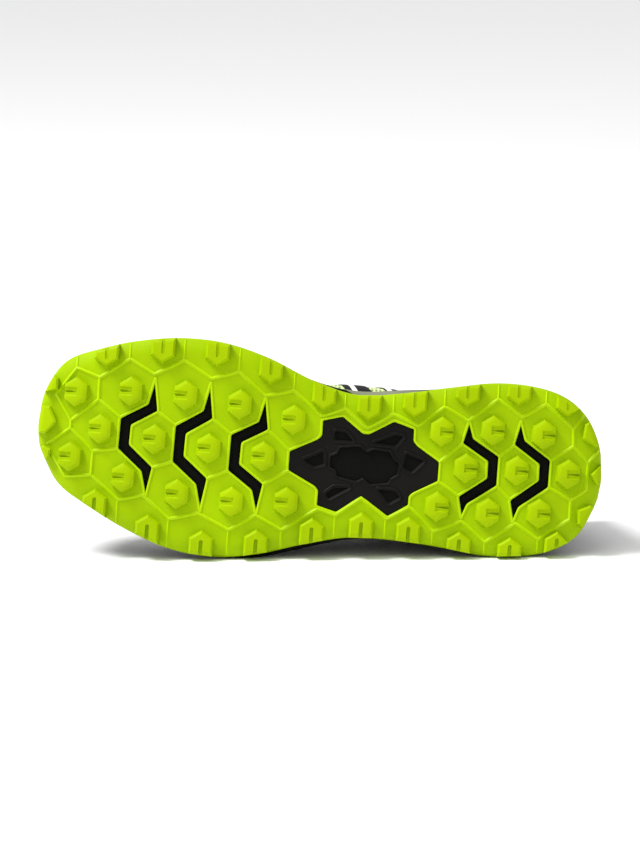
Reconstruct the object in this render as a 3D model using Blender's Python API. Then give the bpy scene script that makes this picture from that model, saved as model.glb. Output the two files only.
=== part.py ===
# Trail running shoe for the right foot, let down on its lateral side.
# It is modelled standing: x from toe to heel, y towards the lateral side, z up from the ground.
# An empty then lays it on the sole's lateral edge and the upper, with the toe to -X and the sole to -Y.
import math

import bmesh
import bpy
import numpy as np
from mathutils import Matrix, Vector

# Driving sizes in metres
LENGTH = 0.300  # outsole, toe tip to heel tip
BALL_WIDTH = 0.1144  # outsole across the ball of the foot
INSTEP_HEIGHT = 0.106  # ground to the top of the throat
HEEL_HEIGHT = 0.100  # ground to the top of the collar at the back
TOE_SPRING = 0.013  # lift of the sole at the toe tip
HEEL_SPRING = 0.004  # lift of the sole at the heel tip
FOREFOOT_STACK = 0.022  # ground to footbed under the ball
HEEL_STACK = 0.031  # ground to footbed under the heel
TOE_TAPER = 0.005  # what the stack loses at the toe tip
LUG_HEIGHT = 0.0045
RUBBER = 0.0022  # outsole sheet
EDGE_ROLL = 0.003  # how far the sheet turns up at its edge
EDGE_ROLL_WIDTH = 0.008
EDGE_RIB = 0.0005  # how far the edge lugs stand out of the sheet's side
RIM_HEIGHT = 0.006  # midsole rim above the footbed
RIM_WALL = 0.0020
SIDE_GROOVE = 0.0012  # depth of the groove round the midsole
WALL = 0.0018  # upper
OVERLAY = 0.0008  # toe cap, rand, counter and eyestay over the wall
CUFF = 0.0011  # padded edge of the collar over the wall
TONGUE = 0.004
TONGUE_FLAP = 0.030  # tongue above the top eyelets
INSOLE = 0.004
LACE_WIDTH = 0.007
LACE = 0.0014
CLEARANCE = 0.0003  # between pieces that touch
EYELETS = 6  # on each side of the throat
LUG_WIDTH = 0.0128  # along the shoe
LUG_SPAN = 0.0165  # across it, from point to point
LUG_BEVEL = 0.0011

SIDE_STATIONS = 34  # steps from toe to heel along each side
LATERAL, MEDIAL = 1, -1


class Table:
    """Rows of named columns, read smoothly between the rows."""

    def __init__(self, columns, rows, measure=np.asarray):
        self.columns = columns
        self.rows = np.array(rows, float)
        self.measure = measure

    def at(self, column, share):
        x = self.measure(self.rows[:, 0])
        y = self.rows[:, self.columns.index(column)]
        slope = np.gradient(y, x)
        at = self.measure(np.clip(share, self.rows[0, 0], self.rows[-1, 0]))
        row = np.clip(np.searchsorted(x, at, side="right") - 1, 0, len(x) - 2)
        step = x[row + 1] - x[row]
        t = (at - x[row]) / step
        return (
            y[row] * (1 + 2 * t) * (1 - t) ** 2
            + y[row + 1] * t**2 * (3 - 2 * t)
            + slope[row] * step * t * (1 - t) ** 2
            + slope[row + 1] * step * t**2 * (t - 1)
        )


def opened_out(share):
    """Length along the sole, stretched at toe and heel where the outline turns across."""
    return np.arccos(1 - 2 * np.asarray(share, float)) / math.pi


# Sole outline from the long axis: stations as shares of LENGTH, the rest as shares of BALL_WIDTH.
# flare is how far the midsole stands out past the rubber, draw_in how far its rim stands back.
SOLE = Table(
    ("station", "medial", "lateral", "medial_flare", "lateral_flare", "draw_in", "rim"),
    (
        (0.00, 0.080, 0.027, -0.006, -0.006, 0.024, 1.20),
        (0.01, 0.195, 0.087, -0.006, -0.006, 0.024, 1.20),
        (0.04, 0.311, 0.213, -0.006, -0.006, 0.026, 1.10),
        (0.10, 0.396, 0.335, -0.006, -0.006, 0.030, 0.90),
        (0.17, 0.450, 0.432, -0.006, -0.006, 0.034, 0.75),
        (0.25, 0.477, 0.506, -0.006, -0.006, 0.038, 0.70),
        (0.32, 0.468, 0.527, -0.006, -0.002, 0.038, 0.70),
        (0.40, 0.413, 0.502, -0.004, 0.013, 0.032, 0.75),
        (0.48, 0.325, 0.441, 0.000, 0.016, 0.018, 0.90),
        (0.56, 0.273, 0.3925, 0.012, 0.008, 0.006, 1.10),
        (0.64, 0.296, 0.389, 0.010, 0.000, 0.012, 1.20),
        (0.72, 0.337, 0.404, -0.003, -0.006, 0.030, 1.30),
        (0.80, 0.374, 0.429, -0.006, -0.006, 0.050, 1.40),
        (0.87, 0.3715, 0.418, -0.006, -0.006, 0.056, 1.50),
        (0.93, 0.324, 0.368, -0.006, -0.006, 0.050, 1.55),
        (0.97, 0.232, 0.274, -0.006, -0.006, 0.044, 1.60),
        (0.99, 0.138, 0.168, -0.006, -0.006, 0.040, 1.60),
        (1.00, 0.0175, 0.079, -0.006, -0.006, 0.040, 1.60),
    ),
    opened_out,
)

# Side of the midsole from the rubber up to the rim: share of the flare, share of draw_in,
# depth in grooves, and height as a share of the way up.
MIDSOLE_SIDE = (
    (0.0, 0.00, 0.8, 0.00),
    (0.9, 0.05, 0.0, 0.10),
    (1.0, 0.28, 0.0, 0.30),
    (1.0, 0.50, 0.0, 0.48),
    (1.0, 0.52, 1.0, 0.52),
    (1.0, 0.62, 1.0, 0.60),
    (1.0, 0.65, 0.1, 0.64),
    (1.0, 0.95, 0.0, 0.93),
    (1.0, 1.00, 0.7, 1.00),
)

# Ribs of the upper from the midsole's rim to the edge of the throat and collar.
# edge_x is a share of LENGTH, edge_y of BALL_WIDTH; instep and heel say how much of each height
# the edge has. rise, reach and drop shape the rib: up from the foot, in from the foot, below the edge.
# The bulges are shares of BALL_WIDTH. rand and stay are where the overlays end and begin on the rib.
RIBS = Table(
    ("station", "edge_x", "edge_y", "instep", "heel", "rise", "reach", "drop",
     "medial_bulge", "lateral_bulge", "rand", "stay"),
    (
        (0.00, 0.350, 0.008, 0.640, 0.00, 0.80, 0.62, 0.12, 0.000, 0.000, 0.36, 0.90),
        (0.04, 0.351, 0.034, 0.640, 0.00, 0.80, 0.62, 0.12, 0.008, 0.006, 0.35, 0.90),
        (0.10, 0.354, 0.062, 0.645, 0.00, 0.78, 0.60, 0.14, 0.012, 0.008, 0.32, 0.89),
        (0.18, 0.362, 0.094, 0.655, 0.00, 0.72, 0.56, 0.16, 0.016, 0.008, 0.26, 0.88),
        (0.27, 0.382, 0.122, 0.685, 0.00, 0.62, 0.52, 0.20, 0.020, 0.008, 0.18, 0.86),
        (0.36, 0.425, 0.138, 0.745, 0.00, 0.52, 0.50, 0.24, 0.024, 0.008, 0.14, 0.83),
        (0.44, 0.475, 0.148, 0.815, 0.00, 0.48, 0.50, 0.26, 0.036, 0.010, 0.14, 0.80),
        (0.52, 0.535, 0.162, 0.900, 0.00, 0.46, 0.46, 0.28, 0.052, 0.012, 0.16, 0.78),
        (0.59, 0.588, 0.185, 0.975, 0.00, 0.44, 0.42, 0.28, 0.052, 0.014, 0.20, 0.76),
        (0.65, 0.625, 0.222, 0.985, 0.00, 0.42, 0.38, 0.30, 0.040, 0.014, 0.26, 0.76),
        (0.71, 0.668, 0.264, 0.600, 0.30, 0.40, 0.36, 0.34, 0.024, 0.014, 0.36, 0.74),
        (0.78, 0.730, 0.290, 0.280, 0.52, 0.38, 0.34, 0.38, 0.016, 0.014, 0.46, 0.72),
        (0.85, 0.805, 0.290, 0.000, 0.78, 0.38, 0.34, 0.40, 0.014, 0.012, 0.54, 0.72),
        (0.91, 0.870, 0.262, 0.000, 0.81, 0.38, 0.34, 0.40, 0.014, 0.012, 0.58, 0.72),
        (0.955, 0.922, 0.200, 0.000, 0.89, 0.38, 0.34, 0.40, 0.016, 0.014, 0.60, 0.74),
        (0.985, 0.948, 0.112, 0.000, 0.97, 0.38, 0.34, 0.40, 0.018, 0.018, 0.60, 0.76),
        (1.00, 0.956, 0.030, 0.000, 1.00, 0.38, 0.34, 0.40, 0.018, 0.018, 0.60, 0.76),
    ),
    opened_out,
)
THROAT_AXIS = 0.030  # the throat's middle line from the long axis, as a share of BALL_WIDTH
THROAT_TOP = 0.60  # station of the top eyelet's rib

# Lugs in rows along the shoe. Inner lugs stand at a share of the half width, positive towards the
# medial side. Edge lugs run from their inner point out to the sole's edge.
LUG_PITCH = 0.0965 * LENGTH
HEEL_PITCH = 0.0900 * LENGTH
INNER_LUGS = (
    # across, first station, pitch, count
    (0.46, 0.065, LUG_PITCH, 5),
    (0.00, 0.112, LUG_PITCH, 4),
    (-0.47, 0.062, LUG_PITCH, 5),
    (0.45, 0.713, HEEL_PITCH, 3),
    (0.00, 0.760, HEEL_PITCH, 3),
    (-0.50, 0.714, HEEL_PITCH, 3),
)
EDGE_LUGS = (
    # side, first station, pitch, count, depth from the edge as a share of BALL_WIDTH
    (MEDIAL, 0.113, LUG_PITCH, 1, 0.094),
    (MEDIAL, 0.212, LUG_PITCH, 4, 0.118),
    (MEDIAL, 0.582, 0.89 * HEEL_PITCH, 2, 0.118),
    (MEDIAL, 0.754, HEEL_PITCH, 2, 0.100),
    (MEDIAL, 0.932, HEEL_PITCH, 1, 0.084),
    (LATERAL, 0.110, LUG_PITCH, 1, 0.100),
    (LATERAL, 0.207, LUG_PITCH, 4, 0.118),
    (LATERAL, 0.583, 0.93 * HEEL_PITCH, 2, 0.118),
    (LATERAL, 0.757, HEEL_PITCH, 2, 0.092),
    (LATERAL, 0.929, HEEL_PITCH, 1, 0.085),
)
END_LUGS = (
    # station and share of BALL_WIDTH towards the medial side, heading in degrees from the toe,
    # width and depth as shares of LUG_WIDTH
    (0.030, 0.195, 32.0, 0.80, 0.50),
    (0.022, 0.048, 6.0, 1.18, 0.80),
    (0.030, -0.078, -30.0, 0.56, 0.42),
    (0.965, 0.150, 152.0, 0.95, 0.52),
    (0.978, -0.016, 180.0, 0.85, 0.50),
    (0.965, -0.190, -150.0, 0.95, 0.60),
)

# Windows through the rubber. Chevron: along as a share of LENGTH from its station, across as a
# share of the half width. Star: a quarter of it, as shares of LENGTH from its middle.
TOE_CHEVRON = (
    (-0.0040, 0.545), (-0.0130, 0.335), (-0.0600, 0.160), (-0.0610, -0.175), (-0.0165, -0.345),
    (-0.0070, -0.540), (0.0010, -0.280), (-0.0425, -0.110), (-0.0415, 0.105), (0.0035, 0.280),
)
HEEL_CHEVRON = (
    (-0.0045, 0.525), (-0.0130, 0.350), (-0.0600, 0.150), (-0.0600, -0.180), (-0.0100, -0.420),
    (-0.0025, -0.555), (0.0045, -0.345), (-0.0430, -0.105), (-0.0425, 0.095), (0.0040, 0.300),
)
CHEVRONS = (
    # shape, station, facing
    (TOE_CHEVRON, 0.206, 1),
    (TOE_CHEVRON, 0.304, 1),
    (TOE_CHEVRON, 0.403, 1),
    (HEEL_CHEVRON, 0.756, -1),
    (HEEL_CHEVRON, 0.847, -1),
)
STAR_QUARTER = (
    (0.0057, 0.0567), (0.0430, 0.0843), (0.0773, 0.0750), (0.0770, 0.0487), (0.0830, 0.0417), (0.1320, 0.0167),
)
STAR_STATION = 0.580
STAR_ACROSS = -0.055  # of BALL_WIDTH, towards the lateral side


def ease(share):
    share = np.clip(share, 0, 1)
    return share * share * (3 - 2 * share)


def ground(x):
    """Underside of the lugs: flat between ball and heel, with toe and heel spring."""
    u = np.asarray(x, float) / LENGTH
    toe = np.clip((0.30 - u) / 0.30, 0, 1.05) ** 2
    heel = np.clip((u - 0.88) / 0.12, 0, 1.05) ** 2
    return TOE_SPRING * toe + HEEL_SPRING * heel


def sheet(x):
    """Underside of the rubber sheet away from its edge."""
    return ground(x) + LUG_HEIGHT


def edge_turn(depth):
    """How far the sheet turns up at a distance from the sole's edge."""
    return EDGE_ROLL * np.clip(1 - np.asarray(depth, float) / EDGE_ROLL_WIDTH, 0, 1) ** 2


def footbed(x):
    u = np.asarray(x, float) / LENGTH
    stack = FOREFOOT_STACK + (HEEL_STACK - FOREFOOT_STACK) * ease((u - 0.35) / 0.45)
    return ground(x) + stack - TOE_TAPER * np.clip(1 - u / 0.2, 0, 1) ** 2


def both_sides(lateral, medial):
    """A ring's values: along the lateral side to the heel, back along the medial side to the toe."""
    return np.concatenate([lateral, medial[::-1]])


STEPS = np.linspace(0, 1, SIDE_STATIONS + 1)
STATIONS = 0.25 * STEPS + 0.75 * (1 - np.cos(math.pi * STEPS)) / 2
RING_STATION = both_sides(STATIONS, STATIONS)
RING_SIDE = both_sides(np.full(len(STATIONS), LATERAL), np.full(len(STATIONS), MEDIAL))


def outward(ring):
    """Unit directions out of a flat ring."""
    along = np.roll(ring, -1, axis=0) - np.roll(ring, 1, axis=0)
    out = np.stack([-along[:, 1], along[:, 0]], axis=1)
    return out / np.linalg.norm(out, axis=1, keepdims=True)


def inset(ring, depth):
    return ring - outward(ring) * np.reshape(depth, (-1, 1))


def with_height(ring, height):
    return np.column_stack([ring, np.broadcast_to(height, len(ring))])


def sole_ring():
    lateral = BALL_WIDTH * SOLE.at("lateral", STATIONS)
    medial = BALL_WIDTH * SOLE.at("medial", STATIONS)
    return np.column_stack([LENGTH * RING_STATION, both_sides(lateral, -medial)])


OUTLINE = sole_ring()
FLARE = BALL_WIDTH * both_sides(SOLE.at("lateral_flare", STATIONS), SOLE.at("medial_flare", STATIONS))
DRAW_IN = BALL_WIDTH * SOLE.at("draw_in", RING_STATION)
CUP_DEPTH = RIM_WALL + 0.4 * RIM_WALL  # from the rim's outer edge to the foot of its inner face


def rim_height(ring):
    return footbed(ring[:, 0]) + RIM_HEIGHT * SOLE.at("rim", RING_STATION)


def half_widths(x):
    u = np.clip(np.asarray(x, float) / LENGTH, 0, 1)
    return BALL_WIDTH * SOLE.at("medial", u), BALL_WIDTH * SOLE.at("lateral", u)


def across_to_y(x, across):
    """From a share of the half width, positive towards the medial side, to y."""
    medial, lateral = half_widths(x)
    return (lateral - medial) / 2 - across * (medial + lateral) / 2


def edge_distance(point, heading):
    """Distance from a point to the sole's edge along a flat heading."""
    start = OUTLINE - point
    step = np.roll(OUTLINE, -1, axis=0) - OUTLINE
    cross = heading[0] * step[:, 1] - heading[1] * step[:, 0]
    cross = np.where(np.abs(cross) < 1e-12, 1e-12, cross)
    reach = (start[:, 0] * step[:, 1] - start[:, 1] * step[:, 0]) / cross
    along = (start[:, 0] * heading[1] - start[:, 1] * heading[0]) / cross
    return reach[(along >= 0) & (along <= 1) & (reach > 0)].min()


def depth_in_sole(point):
    """Shortest distance from a point to the sole's edge."""
    step = np.roll(OUTLINE, -1, axis=0) - OUTLINE
    t = np.clip(((point - OUTLINE) * step).sum(axis=1) / (step**2).sum(axis=1), 0, 1)
    nearest = OUTLINE + step * t[:, None]
    return np.linalg.norm(nearest - point, axis=1).min()


# Meshes
def material(name, colour, roughness):
    made = bpy.data.materials.new(name)
    made.use_nodes = True
    shader = made.node_tree.nodes["Principled BSDF"]
    shader.inputs["Base Color"].default_value = (*colour, 1)
    shader.inputs["Roughness"].default_value = roughness
    shader.inputs["Metallic"].default_value = 0
    return made


def mesh_object(name, points, faces, look=None):
    """A closed object with its faces pointing out."""
    mesh = bpy.data.meshes.new(name)
    mesh.from_pydata([tuple(p) for p in points], [], faces)
    shape = bmesh.new()
    shape.from_mesh(mesh)
    bmesh.ops.recalc_face_normals(shape, faces=shape.faces)
    shape.to_mesh(mesh)
    shape.free()
    made = bpy.data.objects.new(name, mesh)
    bpy.context.scene.collection.objects.link(made)
    if look:
        mesh.materials.append(look)
    return made


def ringed(name, rings, look, closed=False):
    """Rings joined one to the next, and last to first if closed, or else bridged across both ends."""
    count = len(rings[0])
    faces = []
    pairs = list(zip(range(len(rings) - 1), range(1, len(rings))))
    if closed:
        pairs.append((len(rings) - 1, 0))
    for low, high in pairs:
        for i in range(count):
            j = (i + 1) % count
            faces.append((low * count + i, low * count + j, high * count + j, high * count + i))
    if not closed:
        for start in (0, (len(rings) - 1) * count):
            for i in range(count // 2 - 1):
                faces.append((start + i, start + i + 1, start + count - 2 - i, start + count - 1 - i))
    return mesh_object(name, np.concatenate(rings), faces, look)


def hide_as_tool(tool):
    tool.hide_render = True
    tool.display_type = "WIRE"


def combine(target, tool, operation, crossing=False):
    hide_as_tool(tool)
    step = target.modifiers.new(operation.title(), "BOOLEAN")
    step.operation = operation
    step.solver = "EXACT"
    step.use_self = crossing
    step.object = tool


# Outsole
def outsole_sheet(look):
    edge = inset(OUTLINE, EDGE_RIB)
    middle = inset(OUTLINE, EDGE_ROLL_WIDTH / 2)
    inner = inset(OUTLINE, EDGE_ROLL_WIDTH)
    under = [
        with_height(inner, sheet(inner[:, 0])),
        with_height(middle, sheet(middle[:, 0]) + edge_turn(EDGE_ROLL_WIDTH / 2)),
        with_height(edge, sheet(edge[:, 0]) + edge_turn(EDGE_RIB)),
    ]
    over = [ring + np.array([0, 0, RUBBER]) for ring in reversed(under)]
    return ringed("outsole", under + over, look)


def lug(points, depths):
    """A bevelled lug: its outline in the sheet, the same outline near the ground, and its face."""
    points = np.array(points)
    middle = points.mean(axis=0)
    towards = middle - points
    face = points + towards * (LUG_BEVEL / np.linalg.norm(towards, axis=1))[:, None]
    root_height = sheet(points[:, 0]) + edge_turn(depths) + RUBBER / 2
    shoulder_height = ground(points[:, 0]) + LUG_BEVEL
    rings = [
        np.column_stack([points, root_height]),
        np.column_stack([points, shoulder_height]),
        np.column_stack([face, ground(face[:, 0])]),
    ]
    count = len(points)
    faces = [tuple(range(count)), tuple(range(2 * count, 3 * count))[::-1]]
    for low in (0, count):
        for i in range(count):
            j = (i + 1) % count
            faces.append((low + i, low + j, low + count + j, low + count + i))
    return np.concatenate(rings), faces


def inner_lug_outline(x, y):
    w, h = LUG_WIDTH / 2, LUG_SPAN / 2
    corners = ((0, h), (w, h / 2), (w, -h / 2), (0, -h), (-w, -h / 2), (-w, h / 2))
    return [(x + a, y + b) for a, b in corners]


def house_side(apex, heading, aside):
    """One side of an edge lug: its shoulder and flank, or its shoulder alone where the edge cuts it off."""
    slope = aside + heading * np.linalg.norm(aside) * 0.66
    length = np.linalg.norm(slope)
    reach = edge_distance(apex, slope / length)
    if reach < length:
        return [apex + slope * reach / length]
    shoulder = apex + slope
    return [shoulder, shoulder + heading * edge_distance(shoulder, heading)]


def house_outline(apex, heading, width):
    """A lug in the shape of a house, from its inner point out to the sole's edge."""
    heading = np.array(heading)
    aside = np.array([-heading[1], heading[0]]) * width / 2
    return [apex, *house_side(apex, heading, aside), *house_side(apex, heading, -aside)[::-1]]


def lug_outlines():
    for across, first, pitch, count in INNER_LUGS:
        for i in range(count):
            x = LENGTH * first + i * pitch
            yield inner_lug_outline(x, across_to_y(x, across))
    for side, first, pitch, count, depth in EDGE_LUGS:
        for i in range(count):
            x = LENGTH * first + i * pitch
            apex = np.array([x, across_to_y(x, -side) - side * BALL_WIDTH * depth])
            yield house_outline(apex, (0.0, float(side)), LUG_WIDTH)
    for station, across, angle, width, depth in END_LUGS:
        heading = -np.array([math.cos(math.radians(angle)), math.sin(math.radians(angle))])
        middle = np.array([LENGTH * station, -BALL_WIDTH * across])
        edge = middle + heading * edge_distance(middle, heading)
        yield house_outline(edge - heading * LUG_WIDTH * depth, heading, LUG_WIDTH * width)


def lugs():
    points, faces = [], []
    for outline in lug_outlines():
        depths = np.array([depth_in_sole(np.array(p)) for p in outline])
        some, their_faces = lug(outline, depths)
        faces += [tuple(len(points) + i for i in face) for face in their_faces]
        points += list(some)
    return mesh_object("lugs", points, faces)


def window_outlines():
    for shape, station, facing in CHEVRONS:
        corners = [(LENGTH * (station + facing * along), across) for along, across in shape]
        yield [(x, across_to_y(x, across)) for x, across in corners]
    quarter = np.array(STAR_QUARTER)
    top = np.concatenate([quarter[::-1] * (-1, 1), quarter])
    star = LENGTH * np.concatenate([top, top[::-1] * (1, -1)])
    yield star + (LENGTH * STAR_STATION, -BALL_WIDTH * STAR_ACROSS)


def windows():
    """Cutters for the openings, from below the ground to above the sheet."""
    points, faces = [], []
    for outline in window_outlines():
        first, count = len(points), len(outline)
        x = np.array([p[0] for p in outline])
        low = sheet(x) - LUG_HEIGHT / 2
        high = sheet(x) + RUBBER + LUG_HEIGHT / 2
        points += [(*p, z) for p, z in zip(outline, low)] + [(*p, z) for p, z in zip(outline, high)]
        faces += [tuple(range(first, first + count)), tuple(range(first + count, first + 2 * count))]
        for i in range(count):
            j = (i + 1) % count
            faces.append((first + i, first + j, first + count + j, first + count + i))
    return mesh_object("windows", points, faces)


def outsole(look):
    made = outsole_sheet(look)
    combine(made, windows(), "DIFFERENCE")
    combine(made, lugs(), "UNION", crossing=True)
    return made


# Midsole
def midsole_ring(flare, draw_in, groove):
    depth = draw_in * DRAW_IN + groove * SIDE_GROOVE - flare * FLARE
    return inset(OUTLINE, depth)


def cup_ring(depth):
    """The outline inside the midsole's rim, a distance in from the rim's outer edge."""
    return inset(midsole_ring(1, 1, 0.7), depth)


def midsole(look):
    inner = inset(OUTLINE, EDGE_ROLL_WIDTH)
    middle = inset(OUTLINE, EDGE_ROLL_WIDTH / 2)
    over_rubber = RUBBER + CLEARANCE
    rings = [
        with_height(inner, sheet(inner[:, 0]) + over_rubber),
        with_height(middle, sheet(middle[:, 0]) + edge_turn(EDGE_ROLL_WIDTH / 2) + over_rubber),
    ]
    for flare, draw_in, groove, share in MIDSOLE_SIDE:
        ring = midsole_ring(flare, draw_in, groove)
        low = sheet(ring[:, 0]) + edge_turn(EDGE_RIB) + over_rubber
        rings.append(with_height(ring, low + (rim_height(ring) - low) * share))
    inside = cup_ring(RIM_WALL)
    foot = cup_ring(CUP_DEPTH)
    rings.append(with_height(inside, rim_height(inside)))
    rings.append(with_height(foot, footbed(foot[:, 0])))
    return ringed("midsole", rings, look)


# Upper
FOOT_GAP = CLEARANCE + OVERLAY  # from the rim's inner face to the wall, with room for the rand
FOOT = cup_ring(CUP_DEPTH + FOOT_GAP)
START = cup_ring(RIM_WALL + FOOT_GAP)


def rib_handles():
    """The four control points of each rib's curve, from the rim to the edge."""
    column = {name: RIBS.at(name, RING_STATION) for name in RIBS.columns}
    start = with_height(START, rim_height(START))
    edge = np.column_stack([
        LENGTH * column["edge_x"],
        BALL_WIDTH * (THROAT_AXIS + RING_SIDE * column["edge_y"]),
        INSTEP_HEIGHT * column["instep"] + HEEL_HEIGHT * column["heel"],
    ])
    climb = (edge - start)[:, 2:]
    up = np.array([[0, 0, 1.0]])
    bulge = BALL_WIDTH * np.where(RING_SIDE == LATERAL, column["lateral_bulge"], column["medial_bulge"])
    out = np.column_stack([outward(START), np.zeros(len(START))])
    low = start + out * bulge[:, None] + up * climb * column["rise"][:, None]
    inwards = (start - edge) * (1, 1, 0) * column["reach"][:, None]
    high = edge + inwards - up * climb * column["drop"][:, None]
    return start, low, high, edge


HANDLES = rib_handles()
RAND = RIBS.at("rand", RING_STATION)
STAY = RIBS.at("stay", RING_STATION)


def skin(share):
    """Points of the bare wall and the directions out of it, a share of the way up each rib."""
    p0, p1, p2, p3 = HANDLES
    b = np.broadcast_to(share, len(p0))[:, None]
    points = (1 - b) ** 3 * p0 + 3 * (1 - b) ** 2 * b * p1 + 3 * (1 - b) * b**2 * p2 + b**3 * p3
    upward = (1 - b) ** 2 * (p1 - p0) + 2 * (1 - b) * b * (p2 - p1) + b**2 * (p3 - p2)
    around = np.roll(points, -1, axis=0) - np.roll(points, 1, axis=0)
    out = np.cross(upward, around)
    return points, out / np.linalg.norm(out, axis=1, keepdims=True)


def raised(share, height):
    points, out = skin(share)
    return points + out * np.reshape(height, (-1, 1))


def upper(look):
    cuff = ease((RING_STATION - THROAT_TOP) / 0.08)
    stay_height = OVERLAY + (CUFF - OVERLAY) * cuff
    foot_height = footbed(FOOT[:, 0]) + CLEARANCE
    between = [RAND + (STAY - RAND) * share for share in (0.25, 0.5, 0.75)]
    outer = [with_height(FOOT, foot_height), with_height(START, rim_height(START) - CLEARANCE)]
    outer += [raised(RAND * share, OVERLAY) for share in (0.12, 0.4, 0.7, 1.0)]
    outer += [raised(share, 0) for share in (RAND, *between, STAY)]
    outer += [raised(share, stay_height) for share in (STAY, (1 + STAY) / 2, 1.0)]
    inner = [raised(share, -WALL) for share in (1.0, (1 + STAY) / 2, STAY, *between[::-1], RAND)]
    inner += [raised(RAND * share, -WALL) for share in (0.7, 0.4, 0.12)]
    start, foot = inset(START, WALL), inset(FOOT, WALL)
    inner += [with_height(start, rim_height(START) - CLEARANCE), with_height(foot, foot_height)]
    return ringed("upper", outer + inner, look, closed=True)


# Tongue and laces
ARCH = (0.2, 0.4, 0.6, 0.8)  # where the tongue's arch across the throat has points
LACE_COLUMN = 1.7  # where a lace starts on the eyestay, in columns of the throat's grid
LACE_STEPS = 8


def side_rows(values, last):
    """A ring's values as pairs of rows, lateral and medial, from the toe to a station."""
    count = int(np.searchsorted(STATIONS, last, side="right"))
    return values[:count], values[::-1][:count]


def arch_between(first, before, last, after):
    """Points of a curve that leaves one edge and meets the other along the wall."""
    span = np.linalg.norm(last - first, axis=1, keepdims=True)
    leave = first - before
    leave = leave / np.linalg.norm(leave, axis=1, keepdims=True) * span * 0.8
    meet = after - last
    meet = meet / np.linalg.norm(meet, axis=1, keepdims=True) * span * 0.8
    points = []
    for t in ARCH:
        points.append(
            first * (1 + 2 * t) * (1 - t) ** 2
            + last * t**2 * (3 - 2 * t)
            + leave * t * (1 - t) ** 2
            + meet * t**2 * (t - 1)
        )
    return points


def throat_grid(height, last):
    """Rows across the throat from the front of it, each from under one eyestay to under the other."""
    lateral, medial = [], []
    for share in (STAY - (1 - STAY) * 0.5, STAY, (1 + STAY) / 2, 1.0):
        sides = side_rows(raised(share, height), last)
        lateral.append(sides[0])
        medial.append(sides[1])
    arch = arch_between(lateral[-1], lateral[-2], medial[-1], medial[-2])
    return np.stack(lateral + arch + medial[::-1], axis=1)


def grid_outward(grid):
    """Unit directions up out of a grid of rows across the throat."""
    out = np.cross(np.gradient(grid, axis=1), np.gradient(grid, axis=0))
    out /= np.linalg.norm(out, axis=2, keepdims=True)
    return out * np.sign(out[len(grid) // 2, grid.shape[1] // 2, 2])


def tongue(look):
    top = throat_grid(-WALL - 2.5 * CLEARANCE, THROAT_TOP)
    width = top.shape[1]
    along = top[-1, width // 2] - top[-3, width // 2]
    along /= np.linalg.norm(along)
    flap = []
    for share, narrowing in ((0.4, 0.90), (0.75, 0.80), (1.0, 0.62)):
        row = top[-1] + along * TONGUE_FLAP * share
        middle = row[width // 2 - 1:width // 2 + 1].mean(axis=0)
        flap.append(middle + (row - middle) * narrowing)
    top = np.concatenate([top, np.array(flap)])
    rows = len(top)
    out = grid_outward(top)
    under = top - out * TONGUE
    points = np.concatenate([top.reshape(-1, 3), under.reshape(-1, 3)])
    shift = rows * width
    faces = []
    for start in (0, shift):
        for r in range(rows - 1):
            for c in range(width - 1):
                a = start + r * width + c
                faces.append((a, a + 1, a + width + 1, a + width))
        for c in range(width // 2 - 1):
            faces.append((start + c, start + c + 1, start + width - 2 - c, start + width - 1 - c))
    rim = [r * width for r in range(rows)] + [(rows - 1) * width + c for c in range(1, width)]
    rim += [r * width + width - 1 for r in range(rows - 2, -1, -1)]
    for a, b in zip(rim, rim[1:] + rim[:1]):
        faces.append((a, b, b + shift, a + shift))
    return mesh_object("tongue", points, faces, look)


def on_grid(grid, row, column):
    """A value between the rows and columns of a grid."""
    r, c = int(row), int(column)
    a, b = row - r, column - c
    low = grid[r, c] * (1 - b) + grid[r, c + 1] * b
    high = grid[r + 1, c] * (1 - b) + grid[r + 1, c + 1] * b
    return low * (1 - a) + high * a


def lace_run(grid, start, end, base, lift):
    """A flat band across the throat from one eyelet's row to the other's, lifted in the middle."""
    columns = np.linspace(LACE_COLUMN, grid.shape[1] - 1 - LACE_COLUMN, LACE_STEPS + 1)
    share = np.linspace(0, 1, LACE_STEPS + 1)
    rows = start + (end - start) * share
    normals = grid_outward(grid)
    points = np.array([on_grid(grid, r, c) for r, c in zip(rows, columns)])
    out = np.array([on_grid(normals, r, c) for r, c in zip(rows, columns)])
    out /= np.linalg.norm(out, axis=1, keepdims=True)
    points += out * (base + lift * np.sin(math.pi * share))[:, None]
    aside = np.cross(np.gradient(points, axis=0), out)
    aside /= np.linalg.norm(aside, axis=1, keepdims=True)
    corners = ((1, 0), (1, 1), (-1, 1), (-1, 0))
    rings = [points + aside * s * LACE_WIDTH / 2 + out * t * LACE for s, t in corners]
    faces = [(0, 1, 2, 3), tuple(4 * LACE_STEPS + i for i in (3, 2, 1, 0))]
    for r in range(LACE_STEPS):
        for i in range(4):
            j = (i + 1) % 4
            faces.append((4 * r + i, 4 * r + j, 4 * r + 4 + j, 4 * r + 4 + i))
    return mesh_object("lace run", np.stack(rings, axis=1).reshape(-1, 3), faces)


def eyelet_rows(grid):
    """Row numbers, between ribs, of eyelets evenly spaced along the throat."""
    edge = grid[:, 3, 0]
    places = np.linspace(LENGTH * 0.395, edge[-1] - LENGTH * 0.008, EYELETS)
    return np.interp(places, edge, np.arange(len(edge)))


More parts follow.
